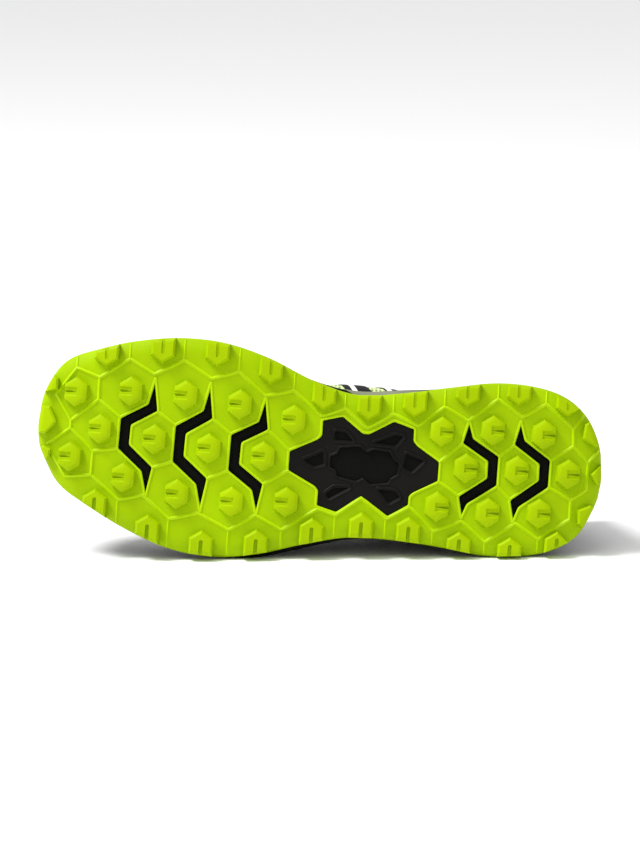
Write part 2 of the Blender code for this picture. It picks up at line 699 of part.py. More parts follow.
def laces(look):
    """The runs across the throat: one bar at the front, then crossings up to the top eyelets."""
    grid = throat_grid(OVERLAY + 2 * CLEARANCE, THROAT_TOP)
    rows = eyelet_rows(grid)
    runs = [lace_run(grid, rows[0], rows[0], 0.3 * LACE, 0.7 * LACE)]
    for i, (low, high) in enumerate(zip(rows, rows[1:])):
        base = 0.15 * LACE * (i % 2)
        runs.append(lace_run(grid, low, high, base, LACE))
        runs.append(lace_run(grid, high, low, base + 0.45 * LACE, 1.3 * LACE))
    made = runs[0]
    made.name = "laces"
    made.data.name = "laces"
    made.data.materials.append(look)
    for run in runs[1:]:
        combine(made, run, "UNION")
    return made


def insole(look):
    ring = inset(FOOT, WALL + 3 * CLEARANCE)
    low = with_height(ring, footbed(ring[:, 0]) + CLEARANCE)
    return ringed("insole", [low, low + np.array([0, 0, INSOLE])], look)


# Pose
def evaluated_points(thing):
    bpy.context.view_layer.update()
    shown = thing.evaluated_get(bpy.context.evaluated_depsgraph_get())
    mesh = shown.to_mesh()
    points = np.array([v.co for v in mesh.vertices])
    shown.to_mesh_clear()
    return points


def lay_down(pieces):
    """Turns that set the sole's lateral edge, at ball and heel, and the upper on one level floor."""
    points = {piece.name: evaluated_points(piece) for piece in pieces}
    sole = np.concatenate([points["outsole"], points["midsole"]])
    groups = [
        sole[sole[:, 0] < LENGTH / 2],
        sole[sole[:, 0] > LENGTH / 2],
        points["upper"],
    ]
    level, tip = 0.0, 0.0
    for _ in range(30):
        turn = Matrix.Rotation(-math.pi / 2 - tip, 3, "X") @ Matrix.Rotation(level, 3, "Z")
        turned = [group @ np.array(turn).T for group in groups]
        ball, heel, side = (group[group[:, 2].argmin()] for group in turned)
        level += 0.7 * math.atan2(heel[2] - ball[2], heel[0] - ball[0])
        tip += 0.7 * math.atan2(side[2] - min(ball[2], heel[2]), side[1] - ball[1])
    everything = np.concatenate(list(points.values())) @ np.array(turn).T
    low, high = everything.min(axis=0), everything.max(axis=0)
    middle = (low + high) / 2
    shift = Matrix.Translation(Vector((-middle[0], -middle[1], -low[2])))
    return shift @ turn.to_4x4()


def build():
    for old in list(bpy.data.objects):
        bpy.data.objects.remove(old)
    lime = material("lime rubber", (0.37, 0.62, 0.003), 0.45)
    black = material("black foam", (0.008, 0.008, 0.007), 0.6)
    grey = material("grey mesh", (0.035, 0.037, 0.036), 0.85)
    dark = material("dark lining", (0.02, 0.02, 0.02), 0.9)
    lace = material("pale green lace", (0.55, 0.75, 0.25), 0.8)
    pieces = [outsole(lime), midsole(black), upper(grey), tongue(grey), insole(dark), laces(lace)]
    rest = bpy.data.objects.new("lying on its side", None)
    bpy.context.scene.collection.objects.link(rest)
    rest.matrix_world = lay_down(pieces)
    for thing in bpy.data.objects:
        if thing.type == "MESH":
            thing.parent = rest
    for piece in pieces:
        piece.data.shade_smooth()
        piece.data.set_sharp_from_angle(angle=math.radians(35))


build()
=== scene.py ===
# %% [markdown]
# # A trail running shoe, lying on its side
#
# The solids of this shoe come from a CAD model. This lesson dresses them: moulded rubber with its
# lugs, foam, knitted mesh, welded films, stitches and laces. Every piece is built in the shoe's own
# frame, standing on the ground: x from toe to heel, y towards the lateral side, z up. One turn at
# the end lays it down on its side, as the photograph shows it.

# %% Load the frame
import math

import bmesh
import bpy
import numpy as np
from mathutils import Matrix, Vector


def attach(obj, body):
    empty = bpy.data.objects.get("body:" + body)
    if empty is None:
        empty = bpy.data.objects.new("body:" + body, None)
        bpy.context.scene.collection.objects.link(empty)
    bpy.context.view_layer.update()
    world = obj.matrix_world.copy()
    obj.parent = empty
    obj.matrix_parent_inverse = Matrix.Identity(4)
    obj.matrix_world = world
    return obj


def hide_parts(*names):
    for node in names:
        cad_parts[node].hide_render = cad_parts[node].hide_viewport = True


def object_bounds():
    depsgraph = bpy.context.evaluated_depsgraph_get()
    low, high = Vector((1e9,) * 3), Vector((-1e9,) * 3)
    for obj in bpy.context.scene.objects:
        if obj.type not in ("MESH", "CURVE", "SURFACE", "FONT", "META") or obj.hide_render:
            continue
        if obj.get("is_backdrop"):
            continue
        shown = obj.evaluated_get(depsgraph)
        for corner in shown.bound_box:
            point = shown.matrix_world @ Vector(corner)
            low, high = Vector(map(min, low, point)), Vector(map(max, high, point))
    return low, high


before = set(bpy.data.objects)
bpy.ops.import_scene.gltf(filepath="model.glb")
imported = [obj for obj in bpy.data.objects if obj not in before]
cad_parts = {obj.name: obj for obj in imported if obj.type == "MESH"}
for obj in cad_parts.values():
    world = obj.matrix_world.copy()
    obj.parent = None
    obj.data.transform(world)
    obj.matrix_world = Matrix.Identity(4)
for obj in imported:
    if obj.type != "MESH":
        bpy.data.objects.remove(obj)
cad_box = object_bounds()
print("CAD nodes:", sorted(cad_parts))

# %% [markdown]
# ## The shoe's own sizes
#
# The dressed pieces have to lie on the CAD solids, so they start from the same named sizes and the
# same tables. Copying them is the plain way: this file reads nothing but the imported frame. A table
# is read smoothly between its rows, so a few rows draw the whole outline.

# %% Sizes of the shoe
LENGTH = 0.300  # outsole, toe tip to heel tip
BALL_WIDTH = 0.1144  # outsole across the ball of the foot
INSTEP_HEIGHT = 0.106  # ground to the top of the throat
HEEL_HEIGHT = 0.100  # ground to the top of the collar at the back
TOE_SPRING = 0.013  # lift of the sole at the toe tip
HEEL_SPRING = 0.004  # lift of the sole at the heel tip
FOREFOOT_STACK = 0.022  # ground to footbed under the ball
HEEL_STACK = 0.031  # ground to footbed under the heel
TOE_TAPER = 0.005  # what the stack loses at the toe tip
LUG_HEIGHT = 0.0045
RUBBER = 0.0022  # outsole sheet
EDGE_ROLL = 0.003  # how far the sheet turns up at its edge
EDGE_ROLL_WIDTH = 0.008
EDGE_RIB = 0.0005  # how far the side of the sheet stands in from the lugs
RIM_HEIGHT = 0.006  # midsole rim above the footbed
RIM_WALL = 0.0020
SIDE_GROOVE = 0.0012  # depth of the groove round the midsole
WALL = 0.0018  # upper
OVERLAY = 0.0008  # films over the wall
CUFF = 0.0011  # padded edge of the collar over the wall
TONGUE = 0.004
TONGUE_FLAP = 0.030  # tongue above the top eyelets
INSOLE = 0.004
LACE_WIDTH = 0.007
LACE = 0.0014
CLEARANCE = 0.0003  # between pieces that touch
EYELETS = 6  # on each side of the throat
LUG_WIDTH = 0.0128  # along the shoe
LUG_SPAN = 0.0165  # across it, from point to point
LATERAL, MEDIAL = 1, -1
MM = 0.001


class Table:
    """Rows of named columns, read smoothly between the rows."""

    def __init__(self, columns, rows, measure=np.asarray):
        self.columns = columns
        self.rows = np.array(rows, float)
        self.measure = measure

    def at(self, column, share):
        x = self.measure(self.rows[:, 0])
        y = self.rows[:, self.columns.index(column)]
        slope = np.gradient(y, x)
        at = self.measure(np.clip(share, self.rows[0, 0], self.rows[-1, 0]))
        row = np.clip(np.searchsorted(x, at, side="right") - 1, 0, len(x) - 2)
        step = x[row + 1] - x[row]
        t = (at - x[row]) / step
        return (
            y[row] * (1 + 2 * t) * (1 - t) ** 2
            + y[row + 1] * t**2 * (3 - 2 * t)
            + slope[row] * step * t * (1 - t) ** 2
            + slope[row + 1] * step * t**2 * (t - 1)
        )


def opened_out(share):
    """Length along the sole, stretched at toe and heel where the outline turns across."""
    return np.arccos(1 - 2 * np.asarray(share, float)) / math.pi


# Outline: stations as shares of LENGTH, the rest as shares of BALL_WIDTH
SOLE = Table(
    ("station", "medial", "lateral", "medial_flare", "lateral_flare", "draw_in", "rim"),
    (
        (0.00, 0.080, 0.027, -0.006, -0.006, 0.024, 1.20),
        (0.01, 0.207, 0.107, -0.006, -0.006, 0.024, 1.20),
        (0.04, 0.327, 0.236, -0.006, -0.006, 0.026, 1.10),
        (0.10, 0.399, 0.339, -0.006, -0.006, 0.030, 0.90),
        (0.17, 0.450, 0.432, -0.006, -0.006, 0.034, 0.75),
        (0.25, 0.477, 0.506, -0.006, -0.006, 0.038, 0.70),
        (0.32, 0.468, 0.527, -0.006, -0.002, 0.038, 0.70),
        (0.40, 0.413, 0.502, -0.004, 0.013, 0.032, 0.75),
        (0.48, 0.325, 0.441, 0.000, 0.016, 0.018, 0.90),
        (0.56, 0.273, 0.3925, 0.012, 0.008, 0.006, 1.10),
        (0.64, 0.296, 0.389, 0.010, 0.000, 0.012, 1.20),
        (0.72, 0.337, 0.404, -0.003, -0.006, 0.030, 1.30),
        (0.80, 0.374, 0.429, -0.006, -0.006, 0.050, 1.40),
        (0.87, 0.3715, 0.418, -0.006, -0.006, 0.056, 1.50),
        (0.93, 0.328, 0.373, -0.006, -0.006, 0.050, 1.55),
        (0.97, 0.241, 0.290, -0.006, -0.006, 0.044, 1.60),
        (0.99, 0.146, 0.182, -0.006, -0.006, 0.040, 1.60),
        (1.00, 0.0175, 0.079, -0.006, -0.006, 0.040, 1.60),
    ),
    opened_out,
)
# Side of the midsole: shares of flare and draw_in, depth in grooves, share of the way up
MIDSOLE_SIDE = Table(
    ("way", "flare", "draw_in", "groove", "height"),
    (
        (0.00, 0.0, 0.00, 0.8, 0.00),
        (0.10, 0.9, 0.05, 0.0, 0.10),
        (0.30, 1.0, 0.28, 0.0, 0.30),
        (0.47, 1.0, 0.49, 0.0, 0.47),
        (0.50, 1.0, 0.51, 0.3, 0.50),
        (0.53, 1.0, 0.53, 1.0, 0.53),
        (0.60, 1.0, 0.62, 1.0, 0.60),
        (0.64, 1.0, 0.65, 0.1, 0.64),
        (0.80, 1.0, 0.80, 0.0, 0.80),
        (0.95, 1.0, 0.96, 0.0, 0.94),
        (1.00, 1.0, 1.00, 0.6, 1.00),
    ),
)
# Ribs of the upper from the midsole's rim to the edge of throat and collar
RIBS = Table(
    ("station", "edge_x", "edge_y", "instep", "heel", "rise", "reach", "drop",
     "medial_bulge", "lateral_bulge", "rand", "stay"),
    (
        (0.00, 0.350, 0.008, 0.640, 0.00, 0.80, 0.62, 0.12, 0.000, 0.000, 0.36, 0.90),
        (0.04, 0.351, 0.034, 0.640, 0.00, 0.80, 0.62, 0.12, 0.008, 0.006, 0.35, 0.90),
        (0.10, 0.354, 0.062, 0.645, 0.00, 0.78, 0.60, 0.14, 0.012, 0.008, 0.32, 0.89),
        (0.18, 0.362, 0.094, 0.655, 0.00, 0.72, 0.56, 0.16, 0.016, 0.008, 0.26, 0.88),
        (0.27, 0.382, 0.122, 0.685, 0.00, 0.62, 0.52, 0.20, 0.020, 0.008, 0.18, 0.86),
        (0.36, 0.425, 0.138, 0.745, 0.00, 0.52, 0.50, 0.24, 0.024, 0.008, 0.14, 0.83),
        (0.44, 0.475, 0.148, 0.815, 0.00, 0.48, 0.50, 0.26, 0.036, 0.010, 0.14, 0.80),
        (0.52, 0.535, 0.162, 0.900, 0.00, 0.46, 0.46, 0.28, 0.052, 0.012, 0.16, 0.78),
        (0.59, 0.588, 0.185, 0.975, 0.00, 0.44, 0.42, 0.28, 0.052, 0.014, 0.20, 0.76),
        (0.65, 0.625, 0.222, 0.985, 0.00, 0.42, 0.38, 0.30, 0.040, 0.014, 0.26, 0.76),
        (0.71, 0.668, 0.264, 0.600, 0.30, 0.40, 0.36, 0.34, 0.024, 0.014, 0.36, 0.74),
        (0.78, 0.730, 0.290, 0.280, 0.52, 0.38, 0.34, 0.38, 0.016, 0.014, 0.46, 0.72),
        (0.85, 0.805, 0.290, 0.000, 0.78, 0.38, 0.34, 0.40, 0.014, 0.012, 0.54, 0.72),
        (0.91, 0.870, 0.262, 0.000, 0.81, 0.38, 0.34, 0.40, 0.014, 0.012, 0.58, 0.72),
        (0.955, 0.922, 0.200, 0.000, 0.89, 0.38, 0.34, 0.40, 0.016, 0.014, 0.60, 0.74),
        (0.985, 0.948, 0.112, 0.000, 0.97, 0.38, 0.34, 0.40, 0.018, 0.018, 0.60, 0.76),
        (1.00, 0.956, 0.030, 0.000, 1.00, 0.38, 0.34, 0.40, 0.018, 0.018, 0.60, 0.76),
    ),
    opened_out,
)
THROAT_AXIS = 0.030
THROAT_TOP = 0.60
print("sole", LENGTH, "m long,", BALL_WIDTH, "m wide")

# %% [markdown]
# ## Heights under the foot
#
# A sole isn't flat. The ground line lifts at the toe and the heel, the rubber sheet turns up at its
# edge, and the footbed drops from heel to ball. Each is one small function of the place along the shoe.


# %% Height functions
def ease(share):
    """A share from 0 to 1, with a soft start and a soft end."""
    share = np.clip(share, 0, 1)
    return share * share * (3 - 2 * share)


def ground(x):
    """Height of the lugs' faces."""
    u = np.asarray(x, float) / LENGTH
    toe = np.clip((0.30 - u) / 0.30, 0, 1.05) ** 2
    heel = np.clip((u - 0.88) / 0.12, 0, 1.05) ** 2
    return TOE_SPRING * toe + HEEL_SPRING * heel


def sheet(x):
    """Height of the rubber sheet that the lugs stand on."""
    return ground(x) + LUG_HEIGHT


def edge_turn(depth):
    """How far the sheet turns up, at a depth in from the sole's edge."""
    return EDGE_ROLL * np.clip(1 - np.asarray(depth, float) / EDGE_ROLL_WIDTH, 0, 1) ** 2


def footbed(x):
    """Height of the surface that the insole lies on."""
    u = np.asarray(x, float) / LENGTH
    stack = FOREFOOT_STACK + (HEEL_STACK - FOREFOOT_STACK) * ease((u - 0.35) / 0.45)
    return ground(x) + stack - TOE_TAPER * np.clip(1 - u / 0.2, 0, 1) ** 2


def half_widths(x):
    u = np.clip(np.asarray(x, float) / LENGTH, 0, 1)
    return BALL_WIDTH * SOLE.at("medial", u), BALL_WIDTH * SOLE.at("lateral", u)


def across_to_y(x, across):
    """The y of a share of the half width: 1 at the medial edge, -1 at the lateral edge."""
    medial, lateral = half_widths(x)
    return (lateral - medial) / 2 - across * (medial + lateral) / 2


# %% [markdown]
# ## Rings round the sole
#
# The sole's outline is one closed ring of points: along the lateral side to the heel, across it,
# back along the medial side and across the toe. Rings set in from it by a few millimetres give the
# rolled edge, the midsole's side and the foot of the upper. One set of numbers serves them all.

# %% The outline as a ring
SIDE_STEPS = 120  # along each side
CAP_STEPS = 12  # across the toe and across the heel
END_BOW = 0.5 * MM  # how far both ends bow out between the two sides
steps = np.linspace(0, 1, SIDE_STEPS + 1)
STATIONS = 0.25 * steps + 0.75 * (1 - np.cos(math.pi * steps)) / 2
MEDIAL_FIRST = SIDE_STEPS + CAP_STEPS  # number of the medial side's first point in a ring, at the heel


def both_sides(lateral, medial):
    """A ring's values: lateral side to the heel, medial side back, and steps across both ends."""
    t = np.linspace(0, 1, CAP_STEPS + 1)[1:-1]
    if np.ndim(lateral) == 2:
        t = t[:, None]
    heel = lateral[-1] * (1 - t) + medial[-1] * t
    toe = medial[0] * (1 - t) + lateral[0] * t
    return np.concatenate([lateral, heel, medial[::-1], toe])


RING_STATION = both_sides(STATIONS, STATIONS)
RING_SIDE = both_sides(np.full(len(STATIONS), 1.0), np.full(len(STATIONS), -1.0))


def side_rows(side):
    """Numbers of a ring's points along one side, from toe to heel."""
    rows = np.arange(len(STATIONS))
    return rows if side == LATERAL else MEDIAL_FIRST + rows[::-1]


def at_side(values, side):
    return values[side_rows(side)]


def outward(ring):
    """Unit directions out of a flat ring."""
    along = np.roll(ring, -1, axis=0) - np.roll(ring, 1, axis=0)
    out = np.stack([-along[:, 1], along[:, 0]], axis=1)
    return out / np.linalg.norm(out, axis=1, keepdims=True)


def inset(ring, depth):
    return ring - outward(ring) * np.reshape(depth, (-1, 1))


def with_height(ring, height):
    return np.column_stack([ring, np.broadcast_to(height, len(ring))])


side_lateral = np.column_stack([LENGTH * STATIONS, BALL_WIDTH * SOLE.at("lateral", STATIONS)])
side_medial = np.column_stack([LENGTH * STATIONS, -BALL_WIDTH * SOLE.at("medial", STATIONS)])
OUTLINE = both_sides(side_lateral, side_medial)
bow = np.sin(np.linspace(0, math.pi, CAP_STEPS + 1)[1:-1]) * END_BOW
OUTLINE[len(STATIONS):MEDIAL_FIRST, 0] += bow
OUTLINE[-len(bow):, 0] -= bow
print("outline of", len(OUTLINE), "points,", np.ptp(OUTLINE, axis=0).round(4), "m")


def edge_distance(point, heading):
    """Distance from a point to the sole's edge along a flat heading."""
    start = OUTLINE - point
    step = np.roll(OUTLINE, -1, axis=0) - OUTLINE
    cross = heading[0] * step[:, 1] - heading[1] * step[:, 0]
    cross = np.where(np.abs(cross) < 1e-12, 1e-12, cross)
    reach = (start[:, 0] * step[:, 1] - start[:, 1] * step[:, 0]) / cross
    along = (start[:, 0] * heading[1] - start[:, 1] * heading[0]) / cross
    return reach[(along >= 0) & (along <= 1) & (reach > 0)].min()


def depth_in_sole(points):
    """Shortest distance of each point to the sole's edge."""
    step = np.roll(OUTLINE, -1, axis=0) - OUTLINE
    gap = points[:, None] - OUTLINE[None]
    t = np.clip((gap * step).sum(axis=2) / (step**2).sum(axis=1), 0, 1)
    return np.linalg.norm(gap - step * t[..., None], axis=2).min(axis=1)


# %% [markdown]
# ## Helpers for meshes
#
# Meshes are built from lists of points and faces, which keeps each form exact. The helpers below make
# an object, grow a polygon by an even margin, and at the end turn a finished piece from the shoe's
# frame into the lying pose, with its modifiers turned into plain mesh and its object at the origin.

# %% Mesh helpers
# The CAD model's pose: tipped past its side until the upper rests too, levelled, and set on the floor
TIP = math.radians(9.62631)
LEVEL = math.radians(4.65143)
turn = Matrix.Rotation(-math.pi / 2 - TIP, 4, "X") @ Matrix.Rotation(LEVEL, 4, "Z")
REST = Matrix.Translation((-0.14943, -0.05481, 0.06939)) @ turn


def mesh_piece(name, points, faces, look=None):
    """An object from points and faces, with all its faces turned outwards."""
    mesh = bpy.data.meshes.new(name)
    mesh.from_pydata([tuple(map(float, p)) for p in points], [], [tuple(map(int, f)) for f in faces])
    shape = bmesh.new()
    shape.from_mesh(mesh)
    bmesh.ops.recalc_face_normals(shape, faces=shape.faces)
    shape.to_mesh(mesh)
    shape.free()
    piece = bpy.data.objects.new(name, mesh)
    bpy.context.scene.collection.objects.link(piece)
    if look:
        mesh.materials.append(look)
    return piece


def ring_faces(count, levels, closed=False):
    """Faces between rings of the same count, one above the other, and last to first if closed."""
    faces = []
    for level in range(levels if closed else levels - 1):
        low, high = level * count, (level + 1) % levels * count
        for i in range(count):
            j = (i + 1) % count
            faces.append((low + i, low + j, high + j, high + i))
    return faces


def grid_faces(rows, columns, first=0):
    """Faces between rows and columns of points, numbered from a first one."""
    faces = []
    for r in range(rows - 1):
        for c in range(columns - 1):
            a = first + r * columns + c
            faces.append((a, a + 1, a + columns + 1, a + columns))
    return faces


def closed_band(rings):
    """Faces of a band from rows of points round its section, with both ends closed."""
    n, columns = len(rings), len(rings[0])
    faces = grid_faces(n, columns)
    faces += [(k, k + 1, (n - 1) * columns + k + 1, (n - 1) * columns + k) for k in range(columns - 1)]
    faces += [tuple(r * columns for r in range(n)), tuple(r * columns + columns - 1 for r in range(n))]
    return np.concatenate(rings), faces


def grown(polygon, margin, sharpest=0.4):
    """An anticlockwise polygon with each side moved out by a margin, or in by a negative one."""
    p = np.array(polygon, float)
    side = np.roll(p, -1, axis=0) - p
    side /= np.linalg.norm(side, axis=1, keepdims=True)
    out = np.column_stack([side[:, 1], -side[:, 0]])
    before = np.roll(out, 1, axis=0)
    share = 1 + (out * before).sum(axis=1, keepdims=True)
    return p + margin * (out + before) / np.maximum(share, sharpest)


def anticlockwise(polygon):
    """The polygon, turned round if it runs clockwise."""
    p = np.array(polygon, float)
    q = np.roll(p, -1, axis=0)
    area = (p[:, 0] * q[:, 1] - q[:, 0] * p[:, 1]).sum()
    return p if area > 0 else p[::-1]


def joined(name, parts, look=None):
    """One mesh from several lists of points and faces."""
    points, faces = [], []
    for some, their_faces in parts:
        faces += [tuple(len(points) + i for i in face) for face in their_faces]
        points += [tuple(p) for p in some]
    return mesh_piece(name, points, faces, look)


def plain_mesh(piece):
    """The mesh of a piece with all its modifiers carried out."""
    bpy.context.view_layer.update()
    depsgraph = bpy.context.evaluated_depsgraph_get()
    return bpy.data.meshes.new_from_object(piece.evaluated_get(depsgraph), depsgraph=depsgraph)


def finished(name, piece, smooth=35, replaces=()):
    """The piece as a plain mesh in the lying pose, riding on the shoe."""
    mesh = plain_mesh(piece)
    mesh.transform(REST)
    mesh.shade_smooth()
    mesh.set_sharp_from_angle(angle=math.radians(smooth))
    bpy.data.objects.remove(piece)
    mesh.name = name
    made = bpy.data.objects.new(name, mesh)
    bpy.context.scene.collection.objects.link(made)
    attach(made, "root")
    if replaces:
        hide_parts(*replaces)
    print(name, len(mesh.polygons), "faces")
    return made


def unwrap(piece, uv):
    """Stores a UV map, given per point, on the corners of a piece's faces."""
    layer = piece.data.uv_layers.new(name="UVMap")
    corner = np.zeros(len(piece.data.loops), int)
    piece.data.loops.foreach_get("vertex_index", corner)
    layer.data.foreach_set("uv", np.asarray(uv, np.float32)[corner].ravel())


def cut(piece, tool):
    """Cuts the tool's shape out of the piece, and removes the tool."""
    step = piece.modifiers.new("Cut", "BOOLEAN")
    step.operation = "DIFFERENCE"
    step.solver = "EXACT"
    step.object = tool
    mesh = plain_mesh(piece)
    piece.modifiers.clear()
    piece.data = mesh
    bpy.data.objects.remove(tool)


# %% [markdown]
# ## Helpers for materials and node trees
#
# Colours are written as the hex values that an image editor shows, and one function turns them into
# the linear light that Blender counts in. Nodes are added with one function, which takes the node's
# settings, and its inputs either as plain values or as the sockets that feed them.


# %% Colour and node helpers
def linear(hex_code):
    """Linear colour from an sRGB hex value."""
    channels = [int(hex_code[i:i + 2], 16) / 255 for i in (1, 3, 5)]
    return (*[c / 12.92 if c <= 0.04045 else ((c + 0.055) / 1.055) ** 2.4 for c in channels], 1)


def add_node(tree, kind, inputs=None, **settings):
    """A node with its settings, its inputs given as values or as the sockets that feed them."""
    node = tree.nodes.new(kind)
    for name, value in settings.items():
        setattr(node, name, value)
    for key, value in (inputs or {}).items():
        if isinstance(value, bpy.types.NodeSocket):
            tree.links.new(value, node.inputs[key])
        else:
            node.inputs[key].default_value = value
    return node


def new_material(name, roughness, specular):
    """A material with its shader's constants set, ready for nodes to feed its colour and bump."""
    made = bpy.data.materials.new(name)
    made.use_nodes = True
    tree = made.node_tree
    shader = tree.nodes["Principled BSDF"]
    shader.inputs["Roughness"].default_value = roughness
    shader.inputs["Specular IOR Level"].default_value = specular
    return made, tree, shader


def colour_ramp(tree, factor, stops):
    """A ramp between two hex colours at places from 0 to 1."""
    ramp = add_node(tree, "ShaderNodeValToRGB", {"Fac": factor})
    for mark, (place, code) in zip(ramp.color_ramp.elements, stops):
        mark.position = place
        mark.color = linear(code)
    return ramp.outputs["Color"]


# %% [markdown]
# ## Lime rubber
#
# Carbon rubber for a trail sole is compression moulded: it takes the satin face of a spark-eroded
# mould, with soft edges and hardly any gloss. The colour is nearly even. Two noises do the work: a
# slow one of a few centimetres that shifts the lime a little, as real pigment does, and a grain of
# 0.35 mm in the bump, drawn a little coarser than the mould's so that it still shows.

# %% Rubber materials
SLOW, GRAIN = 28.0, 2800.0  # per metre: about 36 mm and 0.36 mm


def rubber(name, dark, light, roughness, grain, specular):
    """Moulded rubber, foam or film: a slow shift of colour and gloss, and a fine grain."""
    made, tree, shader = new_material(name, roughness, specular)
    place = add_node(tree, "ShaderNodeTexCoord").outputs["Object"]
    slow = add_node(tree, "ShaderNodeTexNoise", {"Vector": place, "Scale": SLOW, "Detail": 4.0})
    grit = add_node(tree, "ShaderNodeTexNoise", {"Vector": place, "Scale": GRAIN, "Detail": 2.0})
    colour = colour_ramp(tree, slow.outputs["Fac"], ((0.30, dark), (0.70, light)))
    tree.links.new(colour, shader.inputs["Base Color"])
    spread = add_node(tree, "ShaderNodeMapRange", {
        "Value": slow.outputs["Fac"], "To Min": roughness - 0.06, "To Max": roughness + 0.08})
    tree.links.new(spread.outputs["Result"], shader.inputs["Roughness"])
    bump = add_node(tree, "ShaderNodeBump", {
        "Height": grit.outputs["Fac"], "Strength": grain, "Distance": 0.0003})
    tree.links.new(bump.outputs["Normal"], shader.inputs["Normal"])
    return made


# The same rubber three times: the lugs' faces are smoother than the sheet; the ridges' is lighter, a painted
# highlight
lime_rubber = rubber("moulded lime rubber", "#92b200", "#9fc100", 0.46, 0.30, 0.05)
lug_rubber = rubber("moulded lime rubber of the lugs", "#95b300", "#a1bf00", 0.42, 0.25, 0.05)
highlit_crest_rubber = rubber("lime rubber of the ridges, painted lighter as a highlight", "#a4c602", "#b0d206", 0.40, 0.20, 0.08)
# A stiff plate of moulded polyurethane: black, with a thin gloss on its rims
black_shank = rubber("moulded black waist plate", "#080706", "#100e0c", 0.42, 0.35, 0.13)

# %% [markdown]
# ## The lug pattern
#
# The tread is a honeycomb. Rows of hexagonal lugs run down the middle, house-shaped lugs line both
# edges, and a low ridge frames the cell of each one. The tables give where each row starts, how far
# apart its lugs stand, and which way their notch faces: to the toe in front, to the heel behind.

# %% Tread tables
LUG_PITCH = 0.0965 * LENGTH
HEEL_PITCH = 0.0900 * LENGTH
INNER_LUGS = (
    # across, first station, pitch, count, notch facing
    (0.46, 0.065, LUG_PITCH, 5, -1),
    (0.00, 0.112, LUG_PITCH, 4, -1),
    (-0.47, 0.062, LUG_PITCH, 5, -1),
    (0.45, 0.713, HEEL_PITCH, 3, 1),
    (0.00, 0.760, HEEL_PITCH, 3, 1),
    (-0.50, 0.714, HEEL_PITCH, 3, 1),
)
EDGE_LUGS = (
    # side, first station, pitch, count, depth from the edge as a share of BALL_WIDTH
    (MEDIAL, 0.113, LUG_PITCH, 1, 0.094),
    (MEDIAL, 0.212, LUG_PITCH, 4, 0.118),
    (MEDIAL, 0.582, 0.89 * HEEL_PITCH, 2, 0.118),
    (MEDIAL, 0.754, HEEL_PITCH, 2, 0.100),
    (MEDIAL, 0.932, HEEL_PITCH, 1, 0.084),
    (LATERAL, 0.110, LUG_PITCH, 1, 0.100),
    (LATERAL, 0.207, LUG_PITCH, 4, 0.118),
    (LATERAL, 0.583, 0.93 * HEEL_PITCH, 2, 0.118),
    (LATERAL, 0.757, HEEL_PITCH, 2, 0.092),
    (LATERAL, 0.929, HEEL_PITCH, 1, 0.085),
)
END_LUGS = (
    # station, share of BALL_WIDTH, heading in degrees, width and depth as shares of LUG_WIDTH
    (0.030, 0.195, 32.0, 0.80, 0.50),
    (0.022, 0.048, 6.0, 1.18, 0.80),
    (0.030, -0.078, -30.0, 0.56, 0.42),
    (0.965, 0.150, 152.0, 1.05, 0.62),
    (0.978, -0.016, 180.0, 0.85, 0.50),
    (0.965, -0.190, -150.0, 0.95, 0.60),
)
# The windows by their corners. Chevrons: along as a share of LENGTH, across as one of the half width
TOE_CHEVRON = (
    (-0.0040, 0.545), (-0.0130, 0.335), (-0.0600, 0.160), (-0.0610, -0.175), (-0.0165, -0.345),
    (-0.0070, -0.540), (0.0010, -0.280), (-0.0425, -0.110), (-0.0415, 0.105), (0.0035, 0.280),
)
HEEL_CHEVRON = (
    (-0.0045, 0.525), (-0.0130, 0.350), (-0.0600, 0.150), (-0.0600, -0.180), (-0.0100, -0.420),
    (-0.0025, -0.555), (0.0045, -0.345), (-0.0430, -0.105), (-0.0425, 0.095), (0.0040, 0.300),
)
CHEVRONS = (
    # shape, station, facing
    (TOE_CHEVRON, 0.206, 1),
    (TOE_CHEVRON, 0.304, 1),
    (TOE_CHEVRON, 0.403, 1),
    (HEEL_CHEVRON, 0.756, -1),
    (HEEL_CHEVRON, 0.847, -1),
)
# The star, from the middle of a long side to its end on the long axis, as shares of LENGTH. Its toe
# half is the same on both sides, its heel half isn't.
STAR_TOE = (
    (0.0057, 0.0567), (0.0430, 0.0843), (0.0773, 0.0750),
    (0.0770, 0.0487), (0.0830, 0.0417), (0.1320, 0.0167),
)
STAR_HEEL_MEDIAL = (
    (0.0057, 0.0567), (0.0480, 0.0820), (0.0839, 0.0712),
    (0.0843, 0.0500), (0.0915, 0.0420), (0.1320, 0.0167),
)
STAR_HEEL_LATERAL = (
    (0.0057, 0.0567), (0.0485, 0.0850), (0.0830, 0.0625),
    (0.0830, 0.0470), (0.0900, 0.0400), (0.1320, 0.0167),
)
STAR_MIDDLE = np.array((LENGTH * 0.580, BALL_WIDTH * 0.055))


def window_outlines():
    """Corners of the five chevrons and then of the star."""
    for shape, station, facing in CHEVRONS:
        corners = [(LENGTH * (station + facing * along), across) for along, across in shape]
        yield anticlockwise([(x, float(across_to_y(x, across))) for x, across in corners])
    toe = np.array(STAR_TOE)[::-1] * (-1, 1)
    lateral = np.concatenate([toe, STAR_HEEL_LATERAL])
    medial = np.concatenate([toe, STAR_HEEL_MEDIAL]) * (1, -1)
    star = LENGTH * np.concatenate([lateral, medial[::-1]])
    yield anticlockwise(star + STAR_MIDDLE)


WINDOWS = list(window_outlines())
print(len(WINDOWS), "windows in the rubber")
